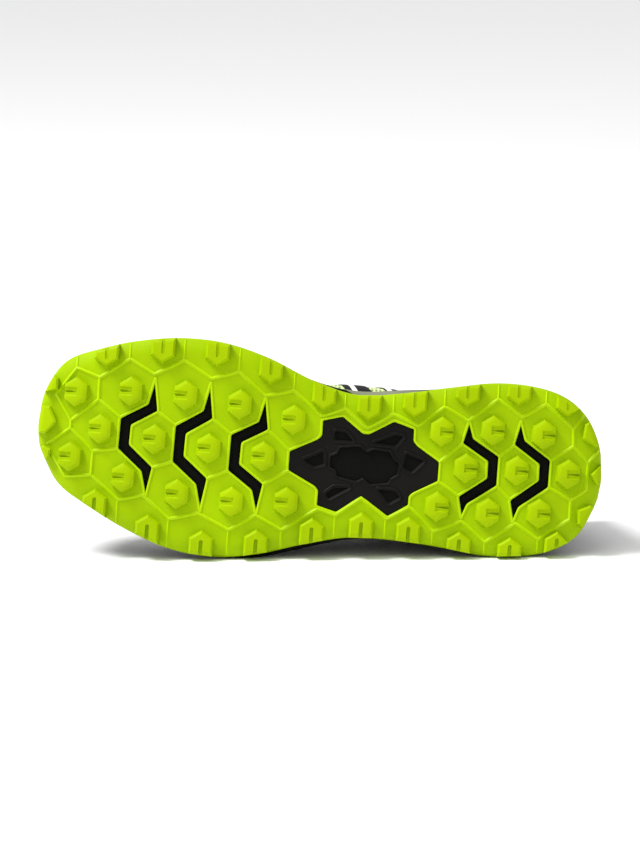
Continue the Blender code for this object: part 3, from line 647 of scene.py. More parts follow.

# %% [markdown]
# ## The ridges of the honeycomb
#
# Each ridge is a line of points on the sheet, in millimetres from the toe tip and from the long axis
# towards the medial side. They were placed on the sole: a zigzag inside each row of edge lugs,
# and cells at toe and heel. Links between the corners of the windows and spurs from the zigzags out to
# the edge follow from points that are there already, so they are worked out instead of typed.

# %% Ridge lines
RIDGES = (
    # medial zigzag, toe to heel
    ((8.4, 20.0), (18.5, 34.4), (31.0, 30.3), (46.4, 41.2), (59.8, 34.0), (75.1, 42.6), (90.1, 34.0),
     (104.6, 38.7), (119.2, 27.0), (134.3, 30.8), (149.8, 18.7), (162.0, 23.6), (174.4, 14.2),
     (187.6, 22.6), (201.0, 17.2), (214.5, 28.2), (227.5, 21.7), (242.5, 34.4), (255.8, 25.8),
     (268.0, 33.6), (283.4, 21.6), (288.5, 29.2)),
    # lateral zigzag
    ((5.2, -7.1), (16.3, -23.2), (30.1, -21.6), (45.3, -33.7), (58.3, -30.1), (73.0, -41.8), (88.1, -37.5),
     (105.0, -45.2), (118.6, -36.3), (132.9, -43.2), (151.1, -30.7), (160.8, -33.2), (173.8, -23.3),
     (187.7, -33.4), (199.7, -26.0), (212.9, -37.9), (227.7, -31.5), (240.7, -41.7), (256.1, -30.5),
     (268.7, -38.0), (284.8, -26.2)),
    # cells of the forefoot
    ((8.4, 20.0), (17.4, 6.6), (17.3, 2.4), (5.2, -7.1)),
    ((17.4, 6.6), (31.3, 18.7), (31.0, 30.3)),
    ((17.3, 2.4), (30.3, -8.8), (30.1, -21.6)),
    # cells of the heel's end
    ((284.0, 12.4), (283.4, 21.6)),
    ((284.0, 12.4), (292.4, 4.2), (292.3, -10.2), (284.6, -16.2), (284.8, -26.2)),
    ((292.4, 4.2), (297.6, 11.4)),
)
SPURS = (*RIDGES[0][1:21:2], *RIDGES[1][3:21:2])  # they start at the zigzags' outer corners
SPUR_END = 1.2 * MM  # where a spur stops before the edge
SWELL, SWELL_REACH = 0.30 * MM, 3.4 * MM  # of the sheet towards a ridge


def chevron_corner(number, corner):
    shape, station, facing = CHEVRONS[number]
    x = LENGTH * (station + facing * shape[corner][0])
    return np.array((x, float(across_to_y(x, shape[corner][1]))))


def star_corner(along, across):
    return STAR_MIDDLE + LENGTH * np.array((along, across))


def on_sole(points):
    """From millimetres from the toe tip and towards the medial side to metres in the shoe's frame."""
    return np.array(points) * MM * (1, -1)


ridge_lines = [on_sole(line) for line in RIDGES]
INNER, OUTER = (9, 6), (2, 3)  # corners of a chevron's hollow and of its back, medial then lateral
toe_links = [on_sole(((31.3, 18.7), (30.3, -8.8)))]
toe_links += [[chevron_corner(number, corner) for corner in INNER] for number in (0, 1, 2)]
toe_ends = [[chevron_corner(number, corner) for corner in OUTER] for number in (0, 1, 2)]
toe_ends.append([star_corner(-0.1320, -0.0167), star_corner(-0.1320, 0.0167)])
heel_links = [[star_corner(0.1320, -0.0167), star_corner(0.1320, 0.0167)]]
heel_links += [[chevron_corner(number, corner) for corner in OUTER] for number in (3, 4)]
heel_ends = [[chevron_corner(number, corner) for corner in INNER] for number in (3, 4)]
heel_ends.append(on_sole(((284.0, 12.4), (284.6, -16.2))))
for starts, ends in zip(toe_links + heel_links, toe_ends + heel_ends):
    ridge_lines += [np.array(pair) for pair in zip(starts, ends)]
spur_lines = []
for start in on_sole(SPURS):
    heading = np.array((0.0, np.sign(start[1])))
    spur_lines.append(np.array([start, start + heading * (edge_distance(start, heading) - SPUR_END)]))
print(len(ridge_lines), "ridge lines and", len(spur_lines), "spurs")


def distance_to_lines(points, lines):
    """Shortest distance of each point to any of the lines."""
    nearest = np.full(len(points), 1.0)
    for line in lines:
        for a, b in zip(line, line[1:]):
            step = b - a
            t = np.clip((points - a) @ step / (step @ step), 0, 1)
            nearest = np.minimum(nearest, np.linalg.norm(points - a - t[:, None] * step, axis=1))
    return nearest


def sheet_height(points):
    """Underside of the dressed sheet: it rolls up at the edge and swells a little towards each ridge."""
    swell = SWELL * np.exp(-((distance_to_lines(points, ridge_lines) / SWELL_REACH) ** 2))
    return sheet(points[:, 0]) + edge_turn(depth_in_sole(points)) - swell


# %% [markdown]
# ## The rubber sheet
#
# The sheet is one grid of rows across the sole, with rings round it for the rolled edge, so that the
# edge's curve has points where it bends most. Subdividing a coarse sheet would be shorter to write,
# but would pull the outline in. The windows are then cut through it with one Boolean.

# %% Build the sheet
ROLL = 1.4 * MM  # radius of the corner at the sheet's side
SKIRT = 0.1 * MM  # how far the sheet's side stands in from the outline
COLUMNS = 72  # steps across the sheet
ring_depths = np.array((8.0, 6.0, 4.2, 2.8, 1.8, 1.1, 0.65, 0.35, 0.17, 0.1)) * MM


def rounded_edge(depth):
    """How far the corner of the sheet turns away near its side."""
    near = np.clip(ROLL - (depth - SKIRT), 0, ROLL)
    return ROLL - np.sqrt(ROLL**2 - near**2)


under = []
for depth in ring_depths:
    ring = inset(OUTLINE, depth)
    under.append(with_height(ring, sheet_height(ring) + rounded_edge(depth)))
side_ring = inset(OUTLINE, SKIRT)
top_side = with_height(side_ring, sheet(side_ring[:, 0]) + edge_turn(SKIRT) + RUBBER)
over = [top_side]
for depth in (4.2 * MM, 8.0 * MM):
    ring = inset(OUTLINE, depth)
    over.append(with_height(ring, sheet(ring[:, 0]) + edge_turn(depth) + RUBBER))
rings = under + over
count = len(OUTLINE)
points = np.concatenate(rings)
faces = ring_faces(count, len(rings))


def close_ring(ring, first, points, faces, height):
    """Fills a ring with rows across it, and fans its two end rows to the steps across toe and heel."""
    rows = len(STATIONS)
    grid = np.zeros((rows, COLUMNS + 1), int)
    across = []
    for r in range(1, rows - 1):
        opposite = MEDIAL_FIRST + rows - 1 - r
        base = len(points) + (r - 1) * (COLUMNS - 1)
        grid[r] = [first + r, *range(base, base + COLUMNS - 1), first + opposite]
        a, b = ring[r, :2], ring[opposite, :2]
        across += [a + (b - a) * t for t in np.linspace(0, 1, COLUMNS + 1)[1:-1]]
    inner = grid[1:-1]
    for r in range(len(inner) - 1):
        for c in range(COLUMNS):
            faces.append((inner[r, c], inner[r, c + 1], inner[r + 1, c + 1], inner[r + 1, c]))
    heel = [first + rows - 1 + k for k in range(CAP_STEPS + 1)]
    toe = [first + -k % len(ring) for k in range(CAP_STEPS + 1)]
    each = COLUMNS // CAP_STEPS
    for k in range(CAP_STEPS):
        for row, end in ((inner[-1], heel), (inner[0], toe)):
            faces.append((*row[k * each:(k + 1) * each + 1], end[k + 1], end[k]))
    across = np.array(across)
    return np.concatenate([points, with_height(across, height(across))])


points = close_ring(rings[0], 0, points, faces, sheet_height)
last = count * (len(rings) - 1)
points = close_ring(rings[-1], last, points, faces, lambda p: sheet(p[:, 0]) + RUBBER)
rubber_sheet = mesh_piece("rubber sheet", points, faces, lime_rubber)


def prism(outline, low, high):
    """A closed block between two heights over an outline."""
    n = len(outline)
    points = np.concatenate([with_height(outline, low), with_height(outline, high)])
    faces = [tuple(range(n))[::-1], tuple(range(n, 2 * n))]
    return points, faces + ring_faces(n, 2)


CORNER_STEPS = 4


def rounded(outline, radius):
    """A polygon with its corners rounded."""
    p = np.array(outline, float)
    made = []
    for before, here, after in zip(np.roll(p, 1, axis=0), p, np.roll(p, -1, axis=0)):
        reach = min(radius, np.linalg.norm(before - here) * 0.42, np.linalg.norm(after - here) * 0.42)
        a = here + (before - here) / np.linalg.norm(before - here) * reach
        b = here + (after - here) / np.linalg.norm(after - here) * reach
        for t in np.linspace(0, 1, CORNER_STEPS + 1):
            made.append((1 - t) ** 2 * a + 2 * t * (1 - t) * here + t**2 * b)
    return np.array(made)


cutters = []
for outline in WINDOWS:
    soft = rounded(outline, 0.9 * MM)
    cutters.append(prism(soft, sheet(soft[:, 0]) - 3 * MM, sheet(soft[:, 0]) + 6 * MM))
cut(rubber_sheet, joined("window cutters", cutters))
finished("outsole_sheet", rubber_sheet, smooth=40, replaces=("outsole",))

# %% [markdown]
# ## Two node trees that repeat things
#
# Geometry Nodes make what follows a line or stands in rows. The first tree sweeps a small profile
# along the edges of a mesh, for ridges, lips and rims. The second stands a template on points, turned
# by two vectors stored on them, for lugs, eyelets and stitches. Both end in real geometry with a
# material, and one function for each tree turns its result into a finished piece.


# %% Node trees
def new_tree(name, sockets):
    """An empty tree with a geometry input and the named inputs."""
    tree = bpy.data.node_groups.new(name, "GeometryNodeTree")
    tree.interface.new_socket("Geometry", in_out="INPUT", socket_type="NodeSocketGeometry")
    for socket, kind in sockets:
        tree.interface.new_socket(socket, in_out="INPUT", socket_type=kind)
    tree.interface.new_socket("Geometry", in_out="OUTPUT", socket_type="NodeSocketGeometry")
    source = add_node(tree, "NodeGroupInput")
    return tree, source.outputs


def end_tree(tree, geometry, material):
    """Ends a tree in real geometry with one material."""
    real = add_node(tree, "GeometryNodeRealizeInstances", {"Geometry": geometry})
    look = add_node(tree, "GeometryNodeSetMaterial", {"Geometry": real.outputs[0], "Material": material})
    add_node(tree, "NodeGroupOutput", {"Geometry": look.outputs[0]})


sweep, given = new_tree("sweep along edges", (
    ("Width", "NodeSocketFloat"), ("Height", "NodeSocketFloat"), ("Sides", "NodeSocketInt"),
    ("Material", "NodeSocketMaterial")))
line = add_node(sweep, "GeometryNodeMeshToCurve", {"Mesh": given["Geometry"]})
upright = add_node(sweep, "GeometryNodeSetCurveNormal", {"Curve": line.outputs[0]}, mode="Z_UP")
circle = add_node(sweep, "GeometryNodeCurvePrimitiveCircle", {
    "Resolution": given["Sides"], "Radius": 0.5})
size = add_node(sweep, "ShaderNodeCombineXYZ", {
    "X": given["Width"], "Y": given["Height"], "Z": 1.0})
profile = add_node(sweep, "GeometryNodeTransform", {
    "Geometry": circle.outputs[0], "Scale": size.outputs[0]})
tube = add_node(sweep, "GeometryNodeCurveToMesh", {
    "Curve": upright.outputs[0], "Profile Curve": profile.outputs[0], "Fill Caps": True})
end_tree(sweep, tube.outputs[0], given["Material"])

stand, given = new_tree("stand on points", (
    ("Template", "NodeSocketObject"), ("Material", "NodeSocketMaterial")))
template = add_node(stand, "GeometryNodeObjectInfo", {"Object": given["Template"]})
out, along = (
    add_node(stand, "GeometryNodeInputNamedAttribute", {"Name": name}, data_type="FLOAT_VECTOR")
    for name in ("out", "along"))
upward = add_node(stand, "FunctionNodeAlignRotationToVector", {"Vector": out.outputs[0]}, axis="Z")
turned = add_node(stand, "FunctionNodeAlignRotationToVector", {
    "Rotation": upward.outputs[0], "Vector": along.outputs[0]}, axis="X", pivot_axis="Z")
copies = add_node(stand, "GeometryNodeInstanceOnPoints", {
    "Points": given["Geometry"], "Instance": template.outputs["Geometry"],
    "Rotation": turned.outputs[0]})
end_tree(stand, copies.outputs[0], given["Material"])


def set_tree(piece, tree, **inputs):
    """Puts a tree on a piece and sets its named inputs."""
    step = piece.modifiers.new(tree.name, "NODES")
    step.node_group = tree
    for item in tree.interface.items_tree:
        if item.in_out == "INPUT" and item.name in inputs:
            step[item.identifier] = inputs[item.name]


def edge_lines(name, lines, closed=False):
    """A mesh of edges only, one chain for each line of points."""
    points, edges = [], []
    for line in lines:
        first, n = len(points), len(line)
        points += [tuple(map(float, p)) for p in line]
        edges += [(first + i, first + i + 1) for i in range(n - 1)]
        if closed:
            edges.append((first + n - 1, first))
    mesh = bpy.data.meshes.new(name)
    mesh.from_pydata(points, edges, [])
    piece = bpy.data.objects.new(name, mesh)
    bpy.context.scene.collection.objects.link(piece)
    return piece


def swept(name, paths, width, height, sides, look, closed=False):
    """A finished piece with one profile, in millimetres, along all its paths."""
    piece = edge_lines(name + " paths", paths, closed)
    set_tree(piece, sweep, Width=width * MM, Height=height * MM, Sides=sides, Material=look)
    finished(name, piece, smooth=60)


def stood(name, points, out, along, template, look, smooth=60):
    """A finished piece with the template on every point, its z along out and its x along along."""
    piece = edge_lines(name + " places", [[point] for point in points])
    for label, values in (("out", out), ("along", along)):
        store = piece.data.attributes.new(label, "FLOAT_VECTOR", "POINT")
        store.data.foreach_set("vector", np.array(values, np.float32).ravel())
    set_tree(piece, stand, Template=template, Material=look)
    finished(name, piece, smooth)
    bpy.data.objects.remove(template)


def divided(line, pitch, closed=False):
    """A line with points added so that none are further apart than a pitch."""
    made = []
    ends = list(zip(line, list(line[1:]) + ([line[0]] if closed else [])))
    for a, b in ends:
        n = max(1, int(np.ceil(np.linalg.norm(b - a) / pitch)))
        made += [a + (b - a) * k / n for k in range(n)]
    if not closed:
        made.append(line[-1])
    return np.array(made)


# %% [markdown]
# ## Ridges, spurs and window lips
#
# A ridge has a crest, so its profile is a diamond: four sides, half sunk in the sheet. The spurs out
# to the edge are the same, but lower. A window's lip is rounder. All follow the sheet, so their lines
# get points every three millimetres first.

# %% Build ridges, spurs and lips
def on_sheet(line, lift):
    """A line laid on the sheet, from which it stands out by a lift."""
    return with_height(line, sheet_height(line) - lift)


PITCH = 3 * MM
ridge_paths = [on_sheet(divided(line, PITCH), 0.0) for line in ridge_lines]
spur_paths = [on_sheet(divided(line, PITCH), -0.1 * MM) for line in spur_lines]
lip_lines = [rounded(grown(outline, 0.75 * MM, sharpest=0.05), 1.2 * MM) for outline in WINDOWS]
lip_paths = [on_sheet(divided(line, PITCH, closed=True), 0.0) for line in lip_lines]
# The ridges, spurs and window lips wear the lighter rubber: a painted highlight along their crests
swept("outsole_ridges", ridge_paths, 2.1, 1.8, 4, highlit_crest_rubber)
swept("outsole_spurs", spur_paths, 1.5, 1.4, 4, highlit_crest_rubber)
swept("outsole_lips", lip_paths, 1.5, 1.1, 10, highlit_crest_rubber, closed=True)

# %% [markdown]
# ## The hexagonal lugs
#
# The inner lugs are all of one shape, so one template is enough. Its flanks have a fillet at the foot
# and a chamfer round the face, built as rings of a growing or shrinking hexagon. Two grooves, a wide
# shallow one and a narrow deep one, cut its stepped notch. Geometry Nodes then stand it on every place
# in the rows.


# %% Build the lug template
def stacked(rings):
    """Points and faces of a solid made of rings, with both ends closed."""
    n = len(rings[0])
    faces = ring_faces(n, len(rings))
    faces += [tuple(range(n))[::-1], tuple(range((len(rings) - 1) * n, len(rings) * n))]
    return np.concatenate(rings), faces


def hull(points):
    """The tightest convex solid round some points."""
    shape = bmesh.new()
    for p in points:
        shape.verts.new(tuple(map(float, p)))
    bmesh.ops.convex_hull(shape, input=shape.verts)
    loose = {v for v in shape.verts if not v.link_faces}
    bmesh.ops.delete(shape, geom=list(loose), context="VERTS")
    shape.verts.index_update()
    made = [tuple(v.co) for v in shape.verts]
    faces = [tuple(v.index for v in f.verts) for f in shape.faces]
    shape.free()
    return made, faces


# A lug's flank from foot to face, in millimetres: margin from the outline, height above the sheet
FLANK = (
    (0.50, -0.6), (0.35, 0.10), (0.12, 0.40), (0.0, 1.0),
    (-0.10, 3.40), (-0.20, 3.62), (-1.60, 4.42), (-1.80, 4.5),
)
w, h = LUG_WIDTH / 2 - 0.25 * MM, LUG_SPAN / 2 - 0.25 * MM
hexagon = anticlockwise(((0, h), (w, h / 2), (w, -h / 2), (0, -h), (-w, -h / 2), (-w, h / 2)))
rings = [with_height(grown(hexagon, margin * MM), height * MM) for margin, height in FLANK]
tread_lug = mesh_piece("tread lug", *stacked(rings))


def groove(start, end, half_width, start_share, floor_share, depths):
    """A groove with sloping walls along x, whose floor falls from one depth to another."""
    points = []
    for x, width, depth in ((start, start_share, depths[0]), (end, 1.0, depths[1])):
        for side in (-1, 1):
            points.append((x, side * half_width * width, LUG_HEIGHT + 1.0 * MM))
            points.append((x, side * half_width * width, LUG_HEIGHT + 0.02 * MM))
            points.append((x, side * half_width * width * floor_share, LUG_HEIGHT - depth))
    return hull(points)


wide = groove(-0.9 * MM, w + MM, 2.6 * MM, 0.92, 0.70, (0.65 * MM, 1.5 * MM))
deep = groove(-0.4 * MM, w + 1.1 * MM, 1.2 * MM, 0.30, 0.4, (1.0 * MM, 3.8 * MM))
cut(tread_lug, joined("wide notch", [wide]))
cut(tread_lug, joined("deep notch", [deep]))
places, outs, alongs = [], [], []
for across, first, pitch, number, facing in INNER_LUGS:
    for i in range(number):
        x = LENGTH * first + i * pitch
        slope = (ground(x + MM) - ground(x - MM)) / (2 * MM)
        places.append((x, float(across_to_y(x, across)), float(sheet(x))))
        outs.append((float(slope), 0, -1))
        alongs.append((facing, 0, 0))
stood("outsole_inner_lugs", places, outs, alongs, tread_lug, lug_rubber, smooth=30)
print(len(places), "hexagonal lugs")

# %% [markdown]
# ## The lugs along the edge
#
# These run out to the edge of the sole, so no two are alike: each has the outline of a house, cut off
# by the edge in front of it. They are stacked from the same rings as the template, but their outer side
# doesn't grow. One Boolean cuts the slits that open them to the edge, which are shallow on the medial
# side. The small lugs round the toe and the heel have none.


# %% Build the edge lugs
SHOULDER = 0.66  # how far a shoulder falls back, as a share of half the lug's width
SHORTEST_SIDE = 2.6 * MM  # a shorter side of a house is left out, its shoulder running to the edge
SLIMMEST = -1.2  # the furthest that a house's outline shrinks towards its face, in millimetres
OUTER_SIDE = (0.1, 0.1, 0.1, 0.15, 0.3, 0.4, 0.9, 1.3)  # how far the outer side of each ring is drawn in
SLIT_START = 0.36  # share of the way from a lug's inner point to its outer side
MEDIAL_SLIT = (0.6, 0.6, 1.1, 1.1, 0.5)  # depths in millimetres: start, outer end and inner tip
LATERAL_SLIT = (1.5, 1.5, 2.8, 2.8, 0.9)


def house_side(apex, heading, aside):
    """One side of a house: its shoulder and its corner at the edge, or that corner alone."""
    slope = aside + heading * np.linalg.norm(aside) * SHOULDER
    length = np.linalg.norm(slope)
    reach = edge_distance(apex, slope / length)
    if reach < length:
        return [apex + slope * reach / length]
    shoulder = apex + slope
    left = edge_distance(shoulder, heading)
    corner = shoulder + heading * left
    return [corner] if left < SHORTEST_SIDE else [shoulder, corner]


def house(apex, heading, width):
    """A lug from its inner point out to the edge."""
    aside = np.array([-heading[1], heading[0]]) * width / 2
    sides = [*house_side(apex, heading, aside), *house_side(apex, heading, -aside)[::-1]]
    outline = anticlockwise([apex, *sides])
    depths = depth_in_sole(outline)
    at_edge = depths < 0.3 * MM
    rings = []
    for (margin, height), pull in zip(FLANK, OUTER_SIDE):
        ring = grown(outline, max(margin, SLIMMEST) * MM)
        flush = grown(outline, np.clip(margin, SLIMMEST, 0) * MM)
        ring[at_edge] = flush[at_edge] - heading * pull * MM
        foot = ground(ring[:, 0]) + LUG_HEIGHT if height >= 1.2 else sheet(ring[:, 0]) + edge_turn(depths)
        rings.append(with_height(ring, foot - height * MM + (0.8 * MM if height < 0 else 0)))
    return stacked(rings[::-1])


def slit(apex, heading, depths):
    """The cutter of an edge lug's slit, deepest in the middle, from its tip to past the edge."""
    end = apex + heading * (edge_distance(apex, heading) + 2 * MM)
    tip = apex + heading * SLIT_START * np.linalg.norm(end - apex)
    aside = np.array([-heading[1], heading[0]]) * 0.75 * MM
    flat = [tip + aside, tip - aside, end + aside, end - aside, tip - heading * 0.7 * MM]
    face = ground(apex[0])
    points = [(*(p + (p - (tip + end) / 2) * (1, 0) * 0.7), face - 2 * MM) for p in flat]
    return hull(points + [(*p, face + depth * MM) for p, depth in zip(flat, depths)])


houses, slits = [], []
for side, first, pitch, number, depth in EDGE_LUGS:
    for i in range(number):
        x = LENGTH * first + i * pitch
        apex = np.array([x, float(across_to_y(x, -side)) - side * BALL_WIDTH * depth])
        heading = np.array((0.0, float(side)))
        houses.append(house(apex, heading, LUG_WIDTH))
        slits.append(slit(apex, heading, MEDIAL_SLIT if side == MEDIAL else LATERAL_SLIT))
for station, across, angle, width, depth in END_LUGS:
    heading = -np.array([math.cos(math.radians(angle)), math.sin(math.radians(angle))])
    middle = np.array([LENGTH * station, -BALL_WIDTH * across])
    edge = middle + heading * edge_distance(middle, heading)
    houses.append(house(edge - heading * LUG_WIDTH * depth, heading, LUG_WIDTH * width))
edge_lugs = joined("edge lugs", houses, lug_rubber)
cut(edge_lugs, joined("slits", slits))
finished("outsole_edge_lugs", edge_lugs, smooth=30)
print(len(houses), "lugs on the edge")

# %% [markdown]
# ## The waist plate behind the star
#
# Through the star-shaped window shows a stiff moulded plate with six pits and a plain recess in the
# middle, all with raised rims. A flat curve with holes in it, extruded and bevelled, makes such a plate
# at once, because a filled curve leaves its inner loops open. It is turned to mesh straight away.

# %% Build the waist plate
STAR = WINDOWS[-1]
PITS = (
    # corners in millimetres from the toe tip and from the long axis towards the medial side
    ((141.8, -5.4), (152.2, 0.0), (152.8, -6.8), (147.6, -8.6)),
    ((205.6, -1.2), (196.0, 2.0), (194.6, -5.4), (199.6, -7.6)),
    ((157.5, 11.2), (163.0, 11.2), (167.6, 6.4), (157.4, 6.4)),
    ((178.0, 6.2), (189.4, 11.4), (194.0, 11.0), (190.2, 5.6)),
    ((159.2, -18.6), (167.4, -18.2), (156.6, -25.0), (154.6, -22.6)),
    ((182.2, -18.0), (191.8, -18.2), (194.2, -21.6), (188.6, -25.2)),
)
RECESS = (
    (160.8, 2.6), (171.2, 4.0), (175.2, 1.0), (178.8, 2.8), (187.2, 2.2), (189.8, -2.0), (192.6, -3.2),
    (192.0, -9.6), (188.8, -11.6), (187.6, -14.2), (177.8, -15.8), (174.2, -12.4), (170.6, -14.6),
    (160.2, -12.6), (159.4, -9.4), (156.0, -8.0), (156.2, -2.4), (159.6, -0.8),
)


def filled_plate(name, loops, thickness, bevel, look):
    """A flat plate with holes, its face down, as a mesh about height nought."""
    curve = bpy.data.curves.new(name, "CURVE")
    curve.dimensions = "2D"
    curve.fill_mode = "BOTH"
    curve.extrude = thickness / 2
    curve.bevel_depth = bevel
    curve.bevel_resolution = 2
    for loop in loops:
        spline = curve.splines.new("POLY")
        spline.points.add(len(loop) - 1)
        for point, (x, y) in zip(spline.points, loop):
            point.co = (x, y, 0, 1)
        spline.use_cyclic_u = True
    piece = bpy.data.objects.new(name, curve)
    bpy.context.scene.collection.objects.link(piece)
    mesh = plain_mesh(piece)
    bpy.data.objects.remove(piece)
    made = bpy.data.objects.new(name, mesh)
    bpy.context.scene.collection.objects.link(made)
    mesh.materials.clear()
    mesh.materials.append(look)
    return made


PLATE_FACE = 1.3 * MM  # how far the plate lies behind the rubber's face
PLATE, PLATE_BEVEL = 1.2 * MM, 0.25 * MM
loops = [rounded(grown(STAR, -0.35 * MM), 1.0 * MM)]
loops += [rounded(anticlockwise(on_sole(pit)), 0.9 * MM) for pit in PITS]
loops.append(rounded(anticlockwise(on_sole(RECESS)), 0.7 * MM))
plate = filled_plate("waist plate", loops, PLATE, PLATE_BEVEL, black_shank)
for vertex in plate.data.vertices:
    vertex.co.z += float(sheet(vertex.co.x) + PLATE_FACE + PLATE / 2 + PLATE_BEVEL)
finished("waist_plate", plate, smooth=40)
rim_lines = [grown(loop, 1.1 * MM) for loop in loops[1:-1]] + [grown(loops[-1], 0.6 * MM)]
rim_level = sheet(174 * MM) + PLATE_FACE + 0.05 * MM  # the sheet is level over the whole star
rim_paths = [with_height(divided(line, PITCH, closed=True), rim_level) for line in rim_lines]
swept("waist_plate_rims", rim_paths, 1.6, 1.4, 8, black_shank, closed=True)

# %% [markdown]
# ## The midsole
#
# EVA foam is moulded in a heated tool: its skin is matt and very slightly pebbled. The block is one
# stack of rings from the rubber up to the rim and down into the cup that holds the foot, so its groove
# and step come straight from the table. A patch of olive paint covers its side at the arch: a sheet of
# its own, a third of a millimetre proud. Behind each chevron window a raised line runs on the foam.

# %% Build the midsole
# The foam's moulded skin takes up the light; the paint keeps a little of the gloss that it dried with
black_foam = rubber("moulded black foam", "#050504", "#0b0b0a", 0.66, 0.55, 0.08)
olive_foam = rubber("painted olive foam", "#6c6e62", "#8a8d72", 0.60, 0.55, 0.2)
FLARE = BALL_WIDTH * np.where(
    RING_SIDE > 0, SOLE.at("lateral_flare", RING_STATION), SOLE.at("medial_flare", RING_STATION))
DRAW_IN = BALL_WIDTH * SOLE.at("draw_in", RING_STATION)
CUP_DEPTH = 1.4 * RIM_WALL


def midsole_ring(flare, draw_in, groove):
    """The outline moved out by shares of the flare, and in by shares of the draw-in and the groove."""
    return inset(OUTLINE, draw_in * DRAW_IN + groove * SIDE_GROOVE - flare * FLARE)


def cup_ring(depth):
    """A ring inside the midsole's rim."""
    return inset(midsole_ring(1, 1, 0.7), depth)


def rim_height(ring):
    """Height of the midsole's rim over each point of a ring."""
    return footbed(ring[:, 0]) + RIM_HEIGHT * SOLE.at("rim", RING_STATION)


over_rubber = RUBBER + CLEARANCE


def foam_ring(way):
    """A ring on the side of the foam, a share of the way up it."""
    ring = midsole_ring(*(MIDSOLE_SIDE.at(name, way) for name in ("flare", "draw_in", "groove")))
    low = sheet(ring[:, 0]) + edge_turn(EDGE_RIB) + over_rubber
    return with_height(ring, low + (rim_height(ring) - low) * MIDSOLE_SIDE.at("height", way))


# Close together at the groove, further apart above and below it
WAYS = (*np.linspace(0, 0.44, 8), *np.linspace(0.47, 0.66, 12), *np.linspace(0.7, 1.0, 8))
rings = []
for depth in (8.0 * MM, 4.0 * MM, 1.5 * MM):
    ring = inset(OUTLINE, depth)
    rings.append(with_height(ring, sheet(ring[:, 0]) + edge_turn(depth) + over_rubber))
rings += [foam_ring(way) for way in WAYS]
for depth, drop in ((0.5, 0.0), (0.9, 0.3), (1.2, 1.0)):
    ring = cup_ring(depth * RIM_WALL)
    rings.append(with_height(ring, rim_height(ring) + (0.35 - drop) * MM))
ring = cup_ring(CUP_DEPTH)
rings.append(with_height(ring, footbed(ring[:, 0])))
count = len(OUTLINE)
faces = ring_faces(count, len(rings))
points = close_ring(rings[0], 0, np.concatenate(rings), faces, lambda p: sheet(p[:, 0]) + over_rubber)
points = close_ring(rings[-1], count * (len(rings) - 1), points, faces, lambda p: footbed(p[:, 0]))
block = mesh_piece("midsole", points, faces, black_foam)
finished("midsole_block", block, smooth=50, replaces=("midsole",))


def foam_row(side, stations, way, lift):
    """Points along the side of the foam, a share of the way up it and a lift out of it."""
    ring = foam_ring(way)
    data = at_side(np.column_stack([ring, outward(ring[:, :2])]), side)
    made = np.column_stack([np.interp(stations, STATIONS, data[:, k]) for k in range(5)])
    made[:, :2] += made[:, 3:] * np.reshape(lift, (-1, 1))
    return made[:, :3]


# The painted patch: a front layer proud of the foam and a back layer sunk in it, thin at the border
ARCH_ROWS, ARCH_COLUMNS = 22, 48
ARCH_HALF = 0.070  # half its length, as a share of LENGTH
ARCH_LIFT = 0.3 * MM
across = np.linspace(-1, 1, ARCH_COLUMNS)
rows = []
for layer in (1, -1):
    for t in np.linspace(0, 1, ARCH_ROWS)[::layer]:
        half = ARCH_HALF * (1 - abs(2 * t - 1) ** 6 * 0.35)
        stations = 0.610 - 0.045 * t + half * across
        rim = np.clip(np.minimum(1 - np.abs(across), min(t, 1 - t)) * 14, 0, 1)
        lift = ARCH_LIFT * rim if layer == 1 else np.full(ARCH_COLUMNS, -ARCH_LIFT)
        rows.append(foam_row(MEDIAL, stations, 0.92 * t, lift))
points, faces = closed_band(rows)
finished("painted_arch", mesh_piece("painted arch", points, faces, olive_foam), smooth=50)
window_paths = []
for outline in WINDOWS[:-1]:
    line = divided(rounded(grown(outline, -1.1 * MM), 0.8 * MM), PITCH, closed=True)
    window_paths.append(with_height(line, sheet(line[:, 0]) + over_rubber))
swept("window_lines", window_paths, 0.9, 1.2, 8, black_foam, closed=True)

# %% [markdown]
# ## The form of the upper
#
# The upper is drawn over a last, so it is one smooth skin. Each rib of it is a curve with four control
# points, from the midsole's rim to the edge of the throat or collar, and the ribs stand side by side
# round the shoe. Every panel, film and seam is then a pair of numbers: where along the shoe, and what
# share of the way up the rib. Worn creases and the fuller arch are small heights added to the skin.

# %% The skin as a function
FOOT_GAP = CLEARANCE + OVERLAY
FOOT = cup_ring(CUP_DEPTH + FOOT_GAP)
START = cup_ring(RIM_WALL + FOOT_GAP)


def rib_handles():
    """The four control points of each rib's curve, from the rim to the edge."""
    column = {name: RIBS.at(name, RING_STATION) for name in RIBS.columns}
    start = with_height(START, rim_height(START))
    edge = np.column_stack([
        LENGTH * column["edge_x"],
        BALL_WIDTH * (THROAT_AXIS + RING_SIDE * column["edge_y"]),
        INSTEP_HEIGHT * column["instep"] + HEEL_HEIGHT * column["heel"],
    ])
    climb = (edge - start)[:, 2:]
    up = np.array([[0, 0, 1.0]])
    lateral_share = (1 + RING_SIDE) / 2
    bulge = BALL_WIDTH * (
        column["lateral_bulge"] * lateral_share + column["medial_bulge"] * (1 - lateral_share))
    out = np.column_stack([outward(START), np.zeros(len(START))])
    low = start + out * bulge[:, None] + up * climb * column["rise"][:, None]
    inwards = (start - edge) * (1, 1, 0) * column["reach"][:, None]
    high = edge + inwards - up * climb * column["drop"][:, None]
    return start, low, high, edge


HANDLES = rib_handles()
RAND = RIBS.at("rand", RING_STATION)
STAY = RIBS.at("stay", RING_STATION)

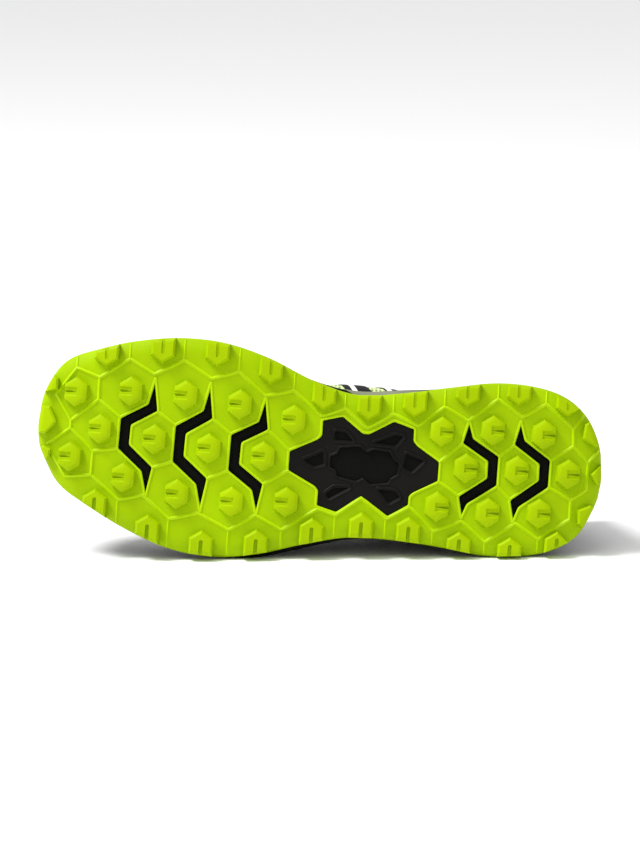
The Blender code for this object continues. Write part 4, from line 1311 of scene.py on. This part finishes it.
CREASE_WIDTH = 2.8 * MM
ARCH_FULLNESS = 6.5 * MM
CREASES = (
    # side, station at the foot of the rib and at its top, depth in millimetres
    (LATERAL, 0.285, 0.335, 0.9), (LATERAL, 0.335, 0.375, 0.7), (LATERAL, 0.225, 0.250, 0.5),
    (MEDIAL, 0.255, 0.320, 0.9), (MEDIAL, 0.310, 0.360, 0.7), (MEDIAL, 0.370, 0.400, 0.4),
    (LATERAL, 0.720, 0.660, 0.7), (LATERAL, 0.770, 0.715, 0.5),
    (MEDIAL, 0.735, 0.670, 0.7), (MEDIAL, 0.790, 0.730, 0.5),
)


def creased(side, station, share):
    """How far the skin stands out at the arch of the foot, and lies in where walking has creased it."""
    station, share = np.broadcast_arrays(np.asarray(station, float), np.asarray(share, float))
    arch = np.exp(-(((station - 0.565) / 0.105) ** 2)) * ease(share / 0.20) * ease((0.9 - share) / 0.65)
    total = ARCH_FULLNESS * arch * np.clip(-side, 0, 1)
    fade = ease((share - 0.12) / 0.3) * ease((0.86 - share) / 0.3)
    for its_side, foot, top, depth in CREASES:
        away = np.abs(station - foot - (top - foot) * share) * LENGTH / CREASE_WIDTH
        wave = 0.5 * np.exp(-((away - 2) ** 2)) - np.exp(-(away**2))
        total += 1.3 * depth * MM * wave * fade * np.clip(side * its_side, 0, 1)
    return total


def on_ribs(handles, share):
    """Points of the ribs' curves and the directions up them."""
    p0, p1, p2, p3 = handles
    b = np.asarray(share, float)[..., None]
    points = (1 - b) ** 3 * p0 + 3 * (1 - b) ** 2 * b * p1 + 3 * (1 - b) * b**2 * p2 + b**3 * p3
    upward = (1 - b) ** 2 * (p1 - p0) + 2 * (1 - b) * b * (p2 - p1) + b**2 * (p3 - p2)
    return points, upward


def raised(share, height):
    """A ring on the skin, a share of the way up each rib and a height out of it."""
    points, upward = on_ribs(HANDLES, np.broadcast_to(share, len(OUTLINE)))
    around = np.roll(points, -1, axis=0) - np.roll(points, 1, axis=0)
    out = np.cross(upward, around)
    out /= np.linalg.norm(out, axis=1, keepdims=True)
    height = height + creased(RING_SIDE, RING_STATION, share)
    return points + out * np.reshape(height, (-1, 1))


def surface(side, station, share, height=0.0):
    """Points on one side of the skin and the directions out of it, from stations and shares."""
    rows = side_rows(side)

    def at(where):
        place = np.interp(where, STATIONS, np.arange(len(STATIONS)))
        low = np.clip(place.astype(int), 0, len(STATIONS) - 2)
        t = (place - low)[..., None]
        return [h[rows][low] * (1 - t) + h[rows][low + 1] * t for h in HANDLES]

    station, share = np.broadcast_arrays(np.asarray(station, float), np.asarray(share, float))
    points, upward = on_ribs(at(station), share)
    ahead = on_ribs(at(np.minimum(station + 0.004, 1)), share)[0]
    behind = on_ribs(at(np.maximum(station - 0.004, 0)), share)[0]
    out = np.cross(upward, ahead - behind) * side
    out /= np.linalg.norm(out, axis=-1, keepdims=True)
    return points + out * (height + creased(side, station, share))[..., None], out


SKIN = np.concatenate([raised(share, 0) for share in np.linspace(0, 1, 15)])
CREST_AT = np.linspace(0.01, 0.99, 40) * LENGTH
CREST = np.array([SKIN[np.abs(SKIN[:, 0] - x) < 0.02 * LENGTH, 2].max() for x in CREST_AT])


def flat_pattern(points):
    """Where each point lies on the cloth as it was cut: along the shoe, and down from its middle."""
    aside = points[:, 1] - BALL_WIDTH * THROAT_AXIS
    drop = np.maximum(np.interp(points[:, 0], CREST_AT, CREST) - points[:, 2], 0)
    return np.column_stack([points[:, 0], aside + np.tanh(aside / (8 * MM)) * drop])


print("upper:", len(OUTLINE), "ribs")

# %% [markdown]
# ## Engineered mesh
#
# The body of the upper is a warp-knitted mesh: yarn round small open cells in staggered rows, over a
# dark backing. The cells here are 2.2 mm apart, a little coarser than real ones, so that they show. The
# pattern is drawn along the piece's own UV map, in metres, so that it follows the skin round the foot.
# Waves along both axes make the cells, faster waves the strands, and a noise the fuzz of the yarn.


# %% Fabric materials
def knit(name, yarn, backing, pitch, hole=0.30, depth=0.0006):
    """Knitted or woven cloth with a cell every pitch; a larger hole shows more of the backing."""
    made, tree, shader = new_material(name, 0.85, 0.25)
    uv = add_node(tree, "ShaderNodeUVMap").outputs["UV"]
    split = add_node(tree, "ShaderNodeSeparateXYZ", {"Vector": uv})
    turn_rate = 2 * math.pi / pitch

    def waves(rate):
        """The product of one wave along each axis."""
        both = []
        for axis in "XY":
            angle = add_node(tree, "ShaderNodeMath", {0: split.outputs[axis], 1: rate}, operation="MULTIPLY")
            both.append(add_node(tree, "ShaderNodeMath", {0: angle.outputs[0]}, operation="COSINE"))
        feeds = {0: both[0].outputs[0], 1: both[1].outputs[0]}
        return add_node(tree, "ShaderNodeMath", feeds, operation="MULTIPLY").outputs[0]

    cells = add_node(tree, "ShaderNodeMath", {0: waves(turn_rate / 2)}, operation="ABSOLUTE").outputs[0]
    strands = waves(turn_rate * 3)
    place = add_node(tree, "ShaderNodeTexCoord").outputs["Object"]
    fuzz = add_node(tree, "ShaderNodeTexNoise", {
        "Vector": place, "Scale": 900.0, "Detail": 3.0}).outputs["Fac"]
    mixed = add_node(tree, "ShaderNodeMath", {0: fuzz, 1: 0.22, 2: cells}, operation="MULTIPLY_ADD")
    shade = colour_ramp(tree, mixed.outputs[0], ((1 - hole - 0.10, yarn), (1 - hole + 0.14, backing)))
    tree.links.new(shade, shader.inputs["Base Color"])
    lift = add_node(tree, "ShaderNodeMath", {0: strands, 1: 0.18, 2: fuzz}, operation="MULTIPLY_ADD")
    height = add_node(tree, "ShaderNodeMath", {0: lift.outputs[0], 1: cells}, operation="SUBTRACT")
    bump = add_node(tree, "ShaderNodeBump", {
        "Height": height.outputs[0], "Strength": 0.6, "Distance": depth})
    tree.links.new(bump.outputs["Normal"], shader.inputs["Normal"])
    shader.inputs["Sheen Weight"].default_value = 0.25
    shader.inputs["Sheen Roughness"].default_value = 0.5
    return made


# Warp-knitted polyester: the yarn catches the light and the cells between it are dark
grey_mesh = knit("grey engineered mesh", "#8b8d85", "#2f302d", 2.2 * MM)
green_mesh = knit("pale green engineered mesh", "#d2e8a0", "#7d8f52", 2.2 * MM)
# Two knitted faces held apart by upright threads: nearly black, with a faint soft bloom
black_mesh = knit("black spacer mesh", "#1e1f1e", "#080808", 2.0 * MM)
# Brushed jersey, whose nap hides most of the cells
lining = knit("black brushed lining", "#1d1d1e", "#101010", 1.2 * MM, hole=0.2, depth=0.0002)
# Polyurethane film, welded on with heat: smooth, with the soft gloss of a raincoat
black_film = rubber("welded black film", "#090909", "#0f0f0e", 0.42, 0.25, 0.22)
white_film = rubber("welded white film", "#e9ebe4", "#f2f3ee", 0.4, 0.2, 0.4)

# %% [markdown]
# ## The wall of the upper
#
# One closed shell makes the whole wall: rings up the outside, over the edge of the throat and collar,
# and down the inside. The faces inside get the lining, those outside the mesh, with a pale green
# panel on the medial side of the waist. Two materials on one shell need no seam between two meshes.

# %% Build the wall
SHARES = np.concatenate([np.linspace(0, 0.9, 26), np.linspace(0.925, 1.0, 6)])
EDGE_CROWN = 0.45 * MM  # how far the wall's top edge is rounded over
GREEN_PANEL = (0.42, 0.68)  # the stations between which the medial side is green


def tucked(depth):
    """The wall's two lowest rings, a depth inside its face: on the footbed and at the rim."""
    return [
        with_height(inset(FOOT, depth), footbed(FOOT[:, 0]) + CLEARANCE),
        with_height(inset(START, depth), rim_height(START) - CLEARANCE),
    ]


outer = tucked(0) + [raised(share, 0) for share in SHARES[1:]]
over_edge = [raised(1.0, -WALL * share) + (0, 0, EDGE_CROWN * math.sin(math.pi * share))
             for share in (0.25, 0.5, 0.75)]
inner = [raised(share, -WALL) for share in SHARES[:0:-1]] + tucked(WALL)[::-1]
rings = outer + over_edge + inner
points = np.concatenate(rings)
wall = mesh_piece("wall", points, ring_faces(len(OUTLINE), len(rings), closed=True), grey_mesh)
for look in (lining, green_mesh):
    wall.data.materials.append(look)
unwrap(wall, flat_pattern(points))
for face in wall.data.polygons:
    ring, place = divmod(face.index, len(OUTLINE))
    if ring >= len(outer) - 1 or ring < 2:
        face.material_index = 1
    elif RING_SIDE[place] < 0 and GREEN_PANEL[0] < RING_STATION[place] < GREEN_PANEL[1]:
        face.material_index = 2
finished("upper_wall", wall, smooth=50, replaces=("upper",))

# %% [markdown]
# ## Films over the mesh
#
# Thin films are welded on where the trail scuffs the shoe: a rand with the toe cap round the foot, a
# counter at the heel, the eyestay, and straps that tie the instep to the sole, each with a white line.
# Each film is a closed sheet about a millimetre thick with rounded edges, laid on the skin between two
# shares of the way up.


# %% Build the films
FILM_STEPS = 10
FILM_EDGE = ((0.0, -0.3), (0.0, 0.45), (0.012, 0.85), (0.035, 1.0))  # way across, share of thickness


def film_round(name, low, high, thickness, look, span=None):
    """A film all round the shoe, or over a span of its ribs, between two shares of the way up."""
    ways = [*FILM_EDGE, *[(t, 1.0) for t in np.linspace(0.035, 0.965, FILM_STEPS + 1)[1:-1]]]
    ways += [(1 - t, lift) for t, lift in FILM_EDGE[::-1]]
    ways += [(t, -0.3) for t in np.linspace(1, 0, FILM_STEPS + 1)[1:-1]]
    rings = [raised(low + (high - low) * t, thickness * lift) for t, lift in ways]
    if span is None:
        points, faces = np.concatenate(rings), ring_faces(len(OUTLINE), len(rings), closed=True)
    else:
        points, faces = closed_band([ring[span] for ring in rings])
    finished(name, mesh_piece(name, points, faces, look), smooth=50)


STRAP_SECTION = (
    # share of the half width, share of the thickness
    (-1, 0), (-1, 0.5), (-0.94, 0.85), (-0.8, 1), (-0.4, 1), (0, 1), (0.4, 1), (0.8, 1),
    (0.94, 0.85), (1, 0.5), (1, 0), (0.5, 0), (0, 0), (-0.5, 0),
)
STRAP_SUNK = 0.2 * MM  # how far a strap's back lies in the mesh


def strap(side, foot, top, half_widths, thickness, base=0.0):
    """A strap of film across the ribs, from the rand up to the eyestay, narrower at its top."""
    t = np.linspace(0, 1, 25)
    stations = foot[0] + (top[0] - foot[0]) * (0.75 * t + 0.25 * t**2)
    shares = foot[1] + (top[1] - foot[1]) * t
    half = (half_widths[0] + (half_widths[1] - half_widths[0]) * t) / LENGTH
    rows = []
    for across, lift in STRAP_SECTION:
        height = base + (thickness * lift if lift else -STRAP_SUNK)
        rows.append(surface(side, stations + across * half, shares, height)[0])
    return closed_band(rows)


# Numbers of the ribs before the end of the throat, of those behind it, and of those round the heel
everywhere = np.arange(len(OUTLINE))
front = np.array([i for i in np.roll(everywhere, -MEDIAL_FIRST) if RING_STATION[i] <= 0.66])
back = np.array([i for i in everywhere if RING_STATION[i] >= 0.60])
heel = np.array([i for i in everywhere if RING_STATION[i] >= 0.80])
STAY_BORDER = 0.08
# The rand runs low along the medial arch, where the mesh comes down to the foam
at_arch = np.exp(-(((RING_STATION - 0.56) / 0.085) ** 2)) * (RING_SIDE < 0)
rand_top = RAND - (RAND - 0.05) * at_arch
counter_top = RAND + 0.03 + (0.50 * STAY - RAND) * ease((RING_STATION - 0.80) / 0.09)
film_round("rand_film", 0.02, rand_top, OVERLAY, black_film)
film_round("eyestay_film", STAY - STAY_BORDER, 0.995, OVERLAY, black_film, span=front)
film_round("counter_film", RAND - 0.04, counter_top, 0.9 * OVERLAY, black_film, span=heel)
STRAPS = (
    # side, stations at the foot and at the top, half widths there in millimetres
    (MEDIAL, 0.574, 0.450, 8.0, 3.0), (MEDIAL, 0.641, 0.530, 5.0, 3.0),
    (LATERAL, 0.520, 0.430, 8.0, 3.0), (LATERAL, 0.610, 0.520, 6.0, 3.0),
)
STRAP, STRAP_LINE = 0.55 * MM, 0.35 * MM
LINE_HALF_WIDTHS = (1.5 * MM, 0.8 * MM)
dark, lines = [], []
for side, foot, top, wide, narrow in STRAPS:
    low = 0.03 if side == MEDIAL else float(np.interp(foot, STATIONS, at_side(RAND, side))) - 0.02
    high = float(np.interp(top, STATIONS, at_side(STAY, side))) - STAY_BORDER + 0.02
    half_widths = (wide * MM, narrow * MM)
    dark.append(strap(side, (foot, low), (top, high), half_widths, STRAP))
    start, end = (foot - 0.010, low + 0.01), (top - 0.003, high - 0.01)
    lines.append(strap(side, start, end, LINE_HALF_WIDTHS, STRAP_LINE, base=STRAP - 0.05 * MM))
finished("straps", joined("straps", dark, black_film), smooth=50)
finished("strap_lines", joined("strap lines", lines, white_film), smooth=50)

# %% [markdown]
# ## Seams
#
# Every stitch is the same little loop of thread, so one short rounded rod is stood along the seams by
# Geometry Nodes: one row along the edge of the eyestay, and one under the padded collar. The thread is
# 0.7 mm thick and the stitches are 3.2 mm apart, a little coarser than real ones, so that they show.

# %% Build the seams
# Twisted filaments drawn through wax: the strands show as a light and a dark green
thread, tree, shader = new_material("waxed polyester thread", 0.6, 0.3)
place = add_node(tree, "ShaderNodeTexCoord").outputs["Object"]
twist = add_node(tree, "ShaderNodeTexNoise", {"Vector": place, "Scale": 1500.0, "Detail": 2.0})
shade = colour_ramp(tree, twist.outputs["Fac"], ((0.3, "#9aa08c"), (0.7, "#c3c8b4")))
tree.links.new(shade, shader.inputs["Base Color"])
STITCH = (
    # way along the stitch and its radius there, in millimetres
    (-1.25, 0.06), (-1.15, 0.20), (-0.8, 0.30), (0, 0.34), (0.8, 0.30), (1.15, 0.20), (1.25, 0.06),
)
STITCH_PITCH = 3.2 * MM
turns = np.linspace(0, 2 * math.pi, 7)[:-1]
rings = [[(x * MM, r * MM * math.cos(a), r * MM * math.sin(a)) for a in turns] for x, r in STITCH]
stitch = mesh_piece("stitch", *stacked(np.array(rings)))


def seam(side, stations, shares, height):
    """Evenly spaced places along a line on the skin, with the directions out of it and along it."""
    fine = np.linspace(stations[0], stations[-1], 400)
    line, out = surface(side, fine, np.interp(fine, stations, shares), height)
    length = np.concatenate([[0], np.cumsum(np.linalg.norm(np.diff(line, axis=0), axis=1))])
    at = np.arange(STITCH_PITCH / 2, length[-1], STITCH_PITCH)
    along = np.gradient(line, axis=0)
    return [np.column_stack([np.interp(at, length, values[:, k]) for k in range(3)])
            for values in (line, out, along)]


early = (STATIONS > 0.26) & (STATIONS < 0.61)
late = (STATIONS > 0.63) & (STATIONS < 0.985)
rows_of_seams = []
for side in (LATERAL, MEDIAL):
    stay = at_side(STAY, side)
    rows_of_seams.append(seam(side, STATIONS[early], stay[early] - STAY_BORDER + 0.03, OVERLAY))
    rows_of_seams.append(seam(side, STATIONS[late], stay[late] - 0.03, 0.1 * MM))
places, outs, alongs = (np.concatenate([row[k] for row in rows_of_seams]) for k in range(3))
stood("stitches", places, outs, alongs, stitch, thread)
print(len(places), "stitches")

# %% [markdown]
# ## The padded collar
#
# Foam under soft fabric rounds the edge of the collar, inside and out. It is a closed ring of
# profiles, thick in the middle and thin where it is sewn down, and it swells most at the ankle.

# %% Build the collar pad
# Share of the way from the seam up to the edge, and share of the pad's thickness
COLLAR_OUTSIDE = (
    (0.0, -0.3), (0.0, 0.3), (0.12, 0.75), (0.35, 1.0), (0.65, 1.0), (0.88, 0.9), (1.0, 0.75),
)
# Share of the way from below the seam up to the edge, and thickness in millimetres
COLLAR_INSIDE = ((1.0, 0.35), (0.9, 1.0), (0.7, 1.9), (0.45, 2.4), (0.2, 1.6), (0.05, 0.4), (0.0, -0.3))
COLLAR_CROWN = 1.5 * MM


def collar_rings(span):
    """Rings of the pad over a span of ribs: up its outside, over the edge and down its inside."""
    swell = ease((RING_STATION - 0.60) / 0.10)
    thickness = CUFF * swell + 0.5 * MM
    made = [raised(STAY + (1 - STAY) * share, thickness * lift) for share, lift in COLLAR_OUTSIDE]
    top = raised(1.0, 0)
    inner = raised(1.0, -WALL)
    for share in (0.3, 0.5, 0.7):
        lift = COLLAR_CROWN * math.sin(math.pi * share) ** 0.6
        made.append(top + (inner - top) * share + (0, 0, lift))
    low = STAY - 0.12
    for share, lift in COLLAR_INSIDE:
        made.append(raised(low + (1 - low) * share, -WALL - lift * MM * (0.25 + 0.75 * swell)))
    return [ring[span] for ring in made]


points, faces = closed_band(collar_rings(back))
pad = mesh_piece("collar", points, faces, black_mesh)
unwrap(pad, flat_pattern(points))
collar_pad = finished("collar_pad", pad, smooth=60)

# %% [markdown]
# ## The throat
#
# Tongue and laces follow the arch of the instep between the two eyestays. One grid gives it to both:
# it runs up one eyestay, over the gap and down the other, and each of them takes it at its own height.


# %% The throat as a grid
ARCH_PLACES = np.linspace(0, 1, 13)[1:-1]  # the grid's columns over the gap, as shares of its width
THROAT_ROWS = int(np.searchsorted(STATIONS, THROAT_TOP, side="right"))


def arch_between(first, before, last, after):
    """Columns of an arch that leaves one edge and meets the other in the skin's own directions."""
    span = np.linalg.norm(last - first, axis=1, keepdims=True)
    leave = first - before
    leave = leave / np.linalg.norm(leave, axis=1, keepdims=True) * span * 0.8
    meet = after - last
    meet = meet / np.linalg.norm(meet, axis=1, keepdims=True) * span * 0.8
    return [first * (1 + 2 * t) * (1 - t) ** 2 + last * t**2 * (3 - 2 * t)
            + leave * t * (1 - t) ** 2 + meet * t**2 * (t - 1) for t in ARCH_PLACES]


def throat_grid(height):
    """Rows from the toe to the leg and columns across, at a height over the skin."""
    lateral, medial = [], []
    for share in (STAY - (1 - STAY) * 0.5, STAY, (1 + STAY) / 2, 1.0):
        ring = raised(share, height)
        lateral.append(at_side(ring, LATERAL)[:THROAT_ROWS])
        medial.append(at_side(ring, MEDIAL)[:THROAT_ROWS])
    over = arch_between(lateral[-1], lateral[-2], medial[-1], medial[-2])
    return np.stack(lateral + over + medial[::-1], axis=1)


def grid_outward(grid):
    """Unit directions out of the grid, upwards in its middle."""
    out = np.cross(np.gradient(grid, axis=1), np.gradient(grid, axis=0))
    out /= np.linalg.norm(out, axis=2, keepdims=True)
    return out * np.sign(out[len(grid) // 2, grid.shape[1] // 2, 2])


def plump(grid, thickness, crown):
    """A closed pad between a grid and its copy below, thin at the border and crowned in the middle."""
    rows, columns = grid.shape[:2]
    out = grid_outward(grid)
    r = np.minimum(np.arange(rows), np.arange(rows)[::-1])[:, None]
    c = np.minimum(np.arange(columns), np.arange(columns)[::-1])[None]
    full = np.sqrt(np.clip(np.minimum(r / 4, c / 3), 0, 1))[..., None]
    middle = grid - out * thickness / 2
    top = middle + out * thickness / 2 * (0.25 + 0.75 * full) + out * crown * full
    under = middle - out * thickness / 2 * (0.25 + 0.75 * full)
    points = np.concatenate([top.reshape(-1, 3), under.reshape(-1, 3)])
    shift = rows * columns
    faces = grid_faces(rows, columns) + grid_faces(rows, columns, shift)
    rim = [k * columns for k in range(rows)] + [(rows - 1) * columns + k for k in range(1, columns)]
    rim += [k * columns + columns - 1 for k in range(rows - 2, -1, -1)] + list(range(columns - 2, 0, -1))
    faces += [(a, b, b + shift, a + shift) for a, b in zip(rim, rim[1:] + rim[:1])]
    u = np.cumsum(np.linalg.norm(np.diff(grid, axis=0, prepend=grid[:1]), axis=2).mean(axis=1))
    v = np.cumsum(np.linalg.norm(np.diff(grid, axis=1, prepend=grid[:, :1]), axis=2).mean(axis=0))
    uv = np.stack(np.meshgrid(u, v, indexing="ij"), axis=-1).reshape(-1, 2)
    return points, faces, np.concatenate([uv, uv])


# %% [markdown]
# ## The tongue
#
# The tongue is a thin foam pad sewn into soft mesh. It reaches from under one eyestay to under the
# other and ends in a free flap that narrows to a round end. The grid's own rows make it, with the
# flap's rows added, and a copy of them below closes it to a pad with a thin border.

# %% Build the tongue
# Share of the flap's length, share of the width that is left there
FLAP = (
    (0.15, 0.97), (0.3, 0.95), (0.45, 0.93), (0.6, 0.91), (0.72, 0.88),
    (0.82, 0.83), (0.9, 0.74), (0.96, 0.60), (1.0, 0.38),
)
top = throat_grid(-WALL - 2.5 * CLEARANCE)[::2]
width = top.shape[1]
along = top[-1, width // 2] - top[-2, width // 2]
along /= np.linalg.norm(along)
flap = []
for share, narrowing in FLAP:
    row = top[-1] + along * TONGUE_FLAP * share
    middle = row[width // 2]
    flap.append(middle + (row - middle) * narrowing)
points, faces, uv = plump(np.concatenate([top, np.array(flap)]), TONGUE, 0.3 * MM)
tongue = mesh_piece("tongue", points, faces, black_mesh)
unwrap(tongue, uv)
tongue_pad = finished("tongue_pad", tongue, smooth=60, replaces=("tongue",))

# %% [markdown]
# ## The insole
#
# A foam sheet with a knitted top is stamped out and laid loose in the cup. It is a low stack of rings
# inside the wall, rounded at its upper edge and closed by faces across, and it wears the lining's knit.

# %% Build the insole
ring = inset(FOOT, WALL + 3 * CLEARANCE)
rings = [with_height(ring, footbed(ring[:, 0]) + CLEARANCE)]
for depth, height in ((0.0, 3.0), (0.3, 3.6), (0.9, 3.95), (1.6, 4.0)):
    at = inset(ring, depth * MM)
    rings.append(with_height(at, footbed(at[:, 0]) + CLEARANCE + INSOLE * height / 4))
count = len(ring)
faces = ring_faces(count, len(rings))
points = close_ring(rings[0], 0, np.concatenate(rings), faces, lambda p: footbed(p[:, 0]) + CLEARANCE)
points = close_ring(
    rings[-1], count * (len(rings) - 1), points, faces, lambda p: footbed(p[:, 0]) + CLEARANCE + INSOLE)
insole = mesh_piece("insole", points, faces, lining)
unwrap(insole, points[:, :2])
finished("insole_board", insole, smooth=50, replaces=("insole",))

# %% [markdown]
# ## The laces
#
# A lace is a flat woven band. It runs straight across at the toe end and then crosses over itself from
# eyelet to eyelet. Each run is one band with a low arch, tucked into the eyestay at both ends, and the
# second of a crossing pair lies over the first.


# %% Build the laces
def on_grid(grid, row, column):
    """The grid's value between its rows and columns."""
    r, c = int(row), int(column)
    a, b = row - r, column - c
    low = grid[r, c] * (1 - b) + grid[r, c + 1] * b
    high = grid[r + 1, c] * (1 - b) + grid[r + 1, c + 1] * b
    return low * (1 - a) + high * a


# Polyester woven as a flat tube: fine ribs, paler than the mesh
lace_weave = knit("pale green woven lace", "#dcefb2", "#a8c06a", 1.3 * MM, hole=0.24, depth=0.0004)
grid = throat_grid(OVERLAY + 2 * CLEARANCE)
normals = grid_outward(grid)
edge_x = grid[:, 3, 0]
eyelet_x = np.linspace(LENGTH * 0.395, edge_x[-1] - LENGTH * 0.008, EYELETS)
rows = np.interp(eyelet_x, edge_x, np.arange(len(edge_x)))
LACE_COLUMN = 1.7  # the grid's column that the eyelets stand on, from either side
LACE_STEPS = 22
# The band's section: share of its width, share of its thickness
SECTION = (
    (0.5, 0.0), (0.5, 0.5), (0.42, 0.92), (0.2, 1.0), (-0.2, 1.0), (-0.42, 0.92), (-0.5, 0.5), (-0.5, 0.0),
)


def lace_run(start, end, base, lift):
    """A band across the throat between two rows, base above the grid and arched by a lift."""
    columns = np.linspace(LACE_COLUMN, grid.shape[1] - 1 - LACE_COLUMN, LACE_STEPS + 1)
    share = np.linspace(0, 1, LACE_STEPS + 1)
    places = start + (end - start) * share
    points = np.array([on_grid(grid, r, c) for r, c in zip(places, columns)])
    out = np.array([on_grid(normals, r, c) for r, c in zip(places, columns)])
    out /= np.linalg.norm(out, axis=1, keepdims=True)
    points = points + out * (base + lift * np.sin(math.pi * share))[:, None]
    tuck = np.maximum(0, 1 - np.minimum(share, 1 - share) * LACE_STEPS / 1.6)[:, None]
    points = points - out * tuck * 1.2 * MM
    aside = np.cross(np.gradient(points, axis=0), out)
    aside /= np.linalg.norm(aside, axis=1, keepdims=True)
    slim = 1 - 0.45 * tuck
    rings = [points + aside * a * LACE_WIDTH * slim + out * b * LACE for a, b in SECTION]
    n = len(SECTION)
    last = LACE_STEPS * n
    faces = ring_faces(n, LACE_STEPS + 1) + [tuple(range(n)), tuple(range(last, last + n))[::-1]]
    length = np.cumsum(np.linalg.norm(np.diff(points, axis=0, prepend=points[:1]), axis=1))
    uv = [(d, k * 1.1 * MM) for d in length for k in range(n)]
    return np.stack(rings, axis=1).reshape(-1, 3), faces, uv


runs = [lace_run(rows[0], rows[0], 0.3 * LACE, 0.7 * LACE)]
for i, (low, high) in enumerate(zip(rows, rows[1:])):
    base = 0.15 * LACE * (i % 2)
    runs.append(lace_run(low, high, base, LACE))
    runs.append(lace_run(high, low, base + 0.45 * LACE, 1.3 * LACE))
laces = joined("laces", [(p, f) for p, f, _ in runs], lace_weave)
unwrap(laces, [pair for _, _, uv in runs for pair in uv])
print(len(runs), "runs of lace,", round(sum(uv[-1][0] for _, _, uv in runs), 3), "m in view")
finished("lace_crossings", laces, smooth=50, replaces=("laces",))

# %% [markdown]
# ## The eyelets
#
# Each end of a run dips into the eyestay, where a pressed and painted metal ring lies round it. One
# ring, stood on every eyelet's place by Geometry Nodes and turned to the skin's own direction there,
# gives both rows.

# %% Build the eyelets
# Stamped aluminium, painted grey and baked: the smoothest surface on the shoe
painted_metal, tree, shader = new_material("painted aluminium eyelet", 0.35, 0.5)
shader.inputs["Base Color"].default_value = linear("#6d706f")
places, outs, alongs = [], [], []
for row in rows:
    for column in (LACE_COLUMN - 0.15, grid.shape[1] - 1 - LACE_COLUMN + 0.15):
        out = on_grid(normals, row, column)
        places.append(on_grid(grid, row, column) - out * 0.5 * MM)
        outs.append(out)
        alongs.append((1, 0, 0))
EYELET = 2.7 * MM
EYELET_RIM, EYELET_HEIGHT = 0.75 * MM, 0.45 * MM
rings = []
for a in np.linspace(0, 2 * math.pi, 11)[:-1]:
    reach = EYELET + EYELET_RIM * math.cos(a)
    rings.append([(reach * math.cos(b), reach * math.sin(b), EYELET_HEIGHT * math.sin(a))
                  for b in np.linspace(0, 2 * math.pi, 25)[:-1]])
eyelet = mesh_piece("eyelet", np.concatenate(rings), ring_faces(24, 10, closed=True))
stood("eyelet_rings", places, outs, alongs, eyelet, painted_metal)

# %% [markdown]
# ## Camera and light
#
# The photograph looks straight at the sole, so the camera stands on the line that leaves the sole at
# a right angle, rolled by the small angle between the shoe's axis and the picture's. A long lens from
# far away keeps the lines parallel. The light is a studio's: one large soft panel high on the left, a
# weak soft sun from above and in front, and a white surround that fills the shadows.

# %% Camera
FRAME_HEIGHT = 0.4518  # height of the picture at the sole, in metres
DISTANCE = 2.6
AIM = (0.1494, -0.0124, 0.0)  # the point in the middle of the picture, in the shoe's frame
# The picture's own directions, seen from the shoe: turned by a little over four degrees
right, up = (0.99726, -0.07398, 0.0), (-0.07398, -0.99726, 0.0)
view = Matrix((
    (right[0], up[0], 0, 0),
    (right[1], up[1], 0, 0),
    (right[2], up[2], -1, -DISTANCE),
    (0, 0, 0, 1),
))
camera_data = bpy.data.cameras.new("camera")
camera_data.sensor_width = 36
camera_data.lens = 36 * DISTANCE / FRAME_HEIGHT
camera = bpy.data.objects.new("camera", camera_data)
bpy.context.scene.collection.objects.link(camera)
camera.matrix_world = REST @ Matrix.Translation(AIM) @ view
bpy.context.scene.camera = camera
print("camera at", [round(v, 3) for v in camera.location], "lens", round(camera_data.lens), "mm")


# %% Lights and floor
def new_light(name, kind, direction, energy):
    """A light that shines along a direction."""
    data = bpy.data.lights.new(name, kind)
    data.energy = energy
    lamp = bpy.data.objects.new(name, data)
    bpy.context.scene.collection.objects.link(lamp)
    lamp.rotation_euler = direction.to_track_quat("-Z", "Y").to_euler()
    return lamp


PANEL_PLACE, PANEL_AIM = Vector((-1.30, -0.34, 2.20)), Vector((0, -0.04, 0.06))
panel = new_light("top panel", "AREA", PANEL_AIM - PANEL_PLACE, 64)
panel.location = PANEL_PLACE
panel.data.shape = "DISK"
panel.data.size = 1.0
sun = new_light("soft sun", "SUN", Vector((0.30, 0.50, -1.0)), 0.6)
sun.data.angle = math.radians(45)
world = bpy.data.worlds.new("white surround")
bpy.context.scene.world = world
world.use_nodes = True
world.node_tree.nodes["Background"].inputs["Color"].default_value = (1, 1, 1, 1)
world.node_tree.nodes["Background"].inputs["Strength"].default_value = 0.64
# Matt paper from a roll, which takes the shoe's soft shadow
paper, tree, shader = new_material("white paper sweep", 0.9, 0.2)
shader.inputs["Base Color"].default_value = linear("#f7f7f7")
FLOOR_HALF, FLOOR_LEVEL = 9, -0.0004  # metres; just below the lowest point of the shoe
corners = [(x * FLOOR_HALF, y * FLOOR_HALF, FLOOR_LEVEL) for x, y in ((-1, -1), (1, -1), (1, 1), (-1, 1))]
floor = mesh_piece("floor", corners, [(0, 1, 2, 3)], paper)
floor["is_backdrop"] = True
bpy.context.scene.view_settings.view_transform = "Standard"
bpy.context.scene.view_settings.look = "None"

# %% Bounds of the CAD model and of the dressed shoe
boxes = {"cad": cad_box, "visual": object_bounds()}
{k: [[float(v) for v in corner] for corner in box] for k, box in boxes.items()}
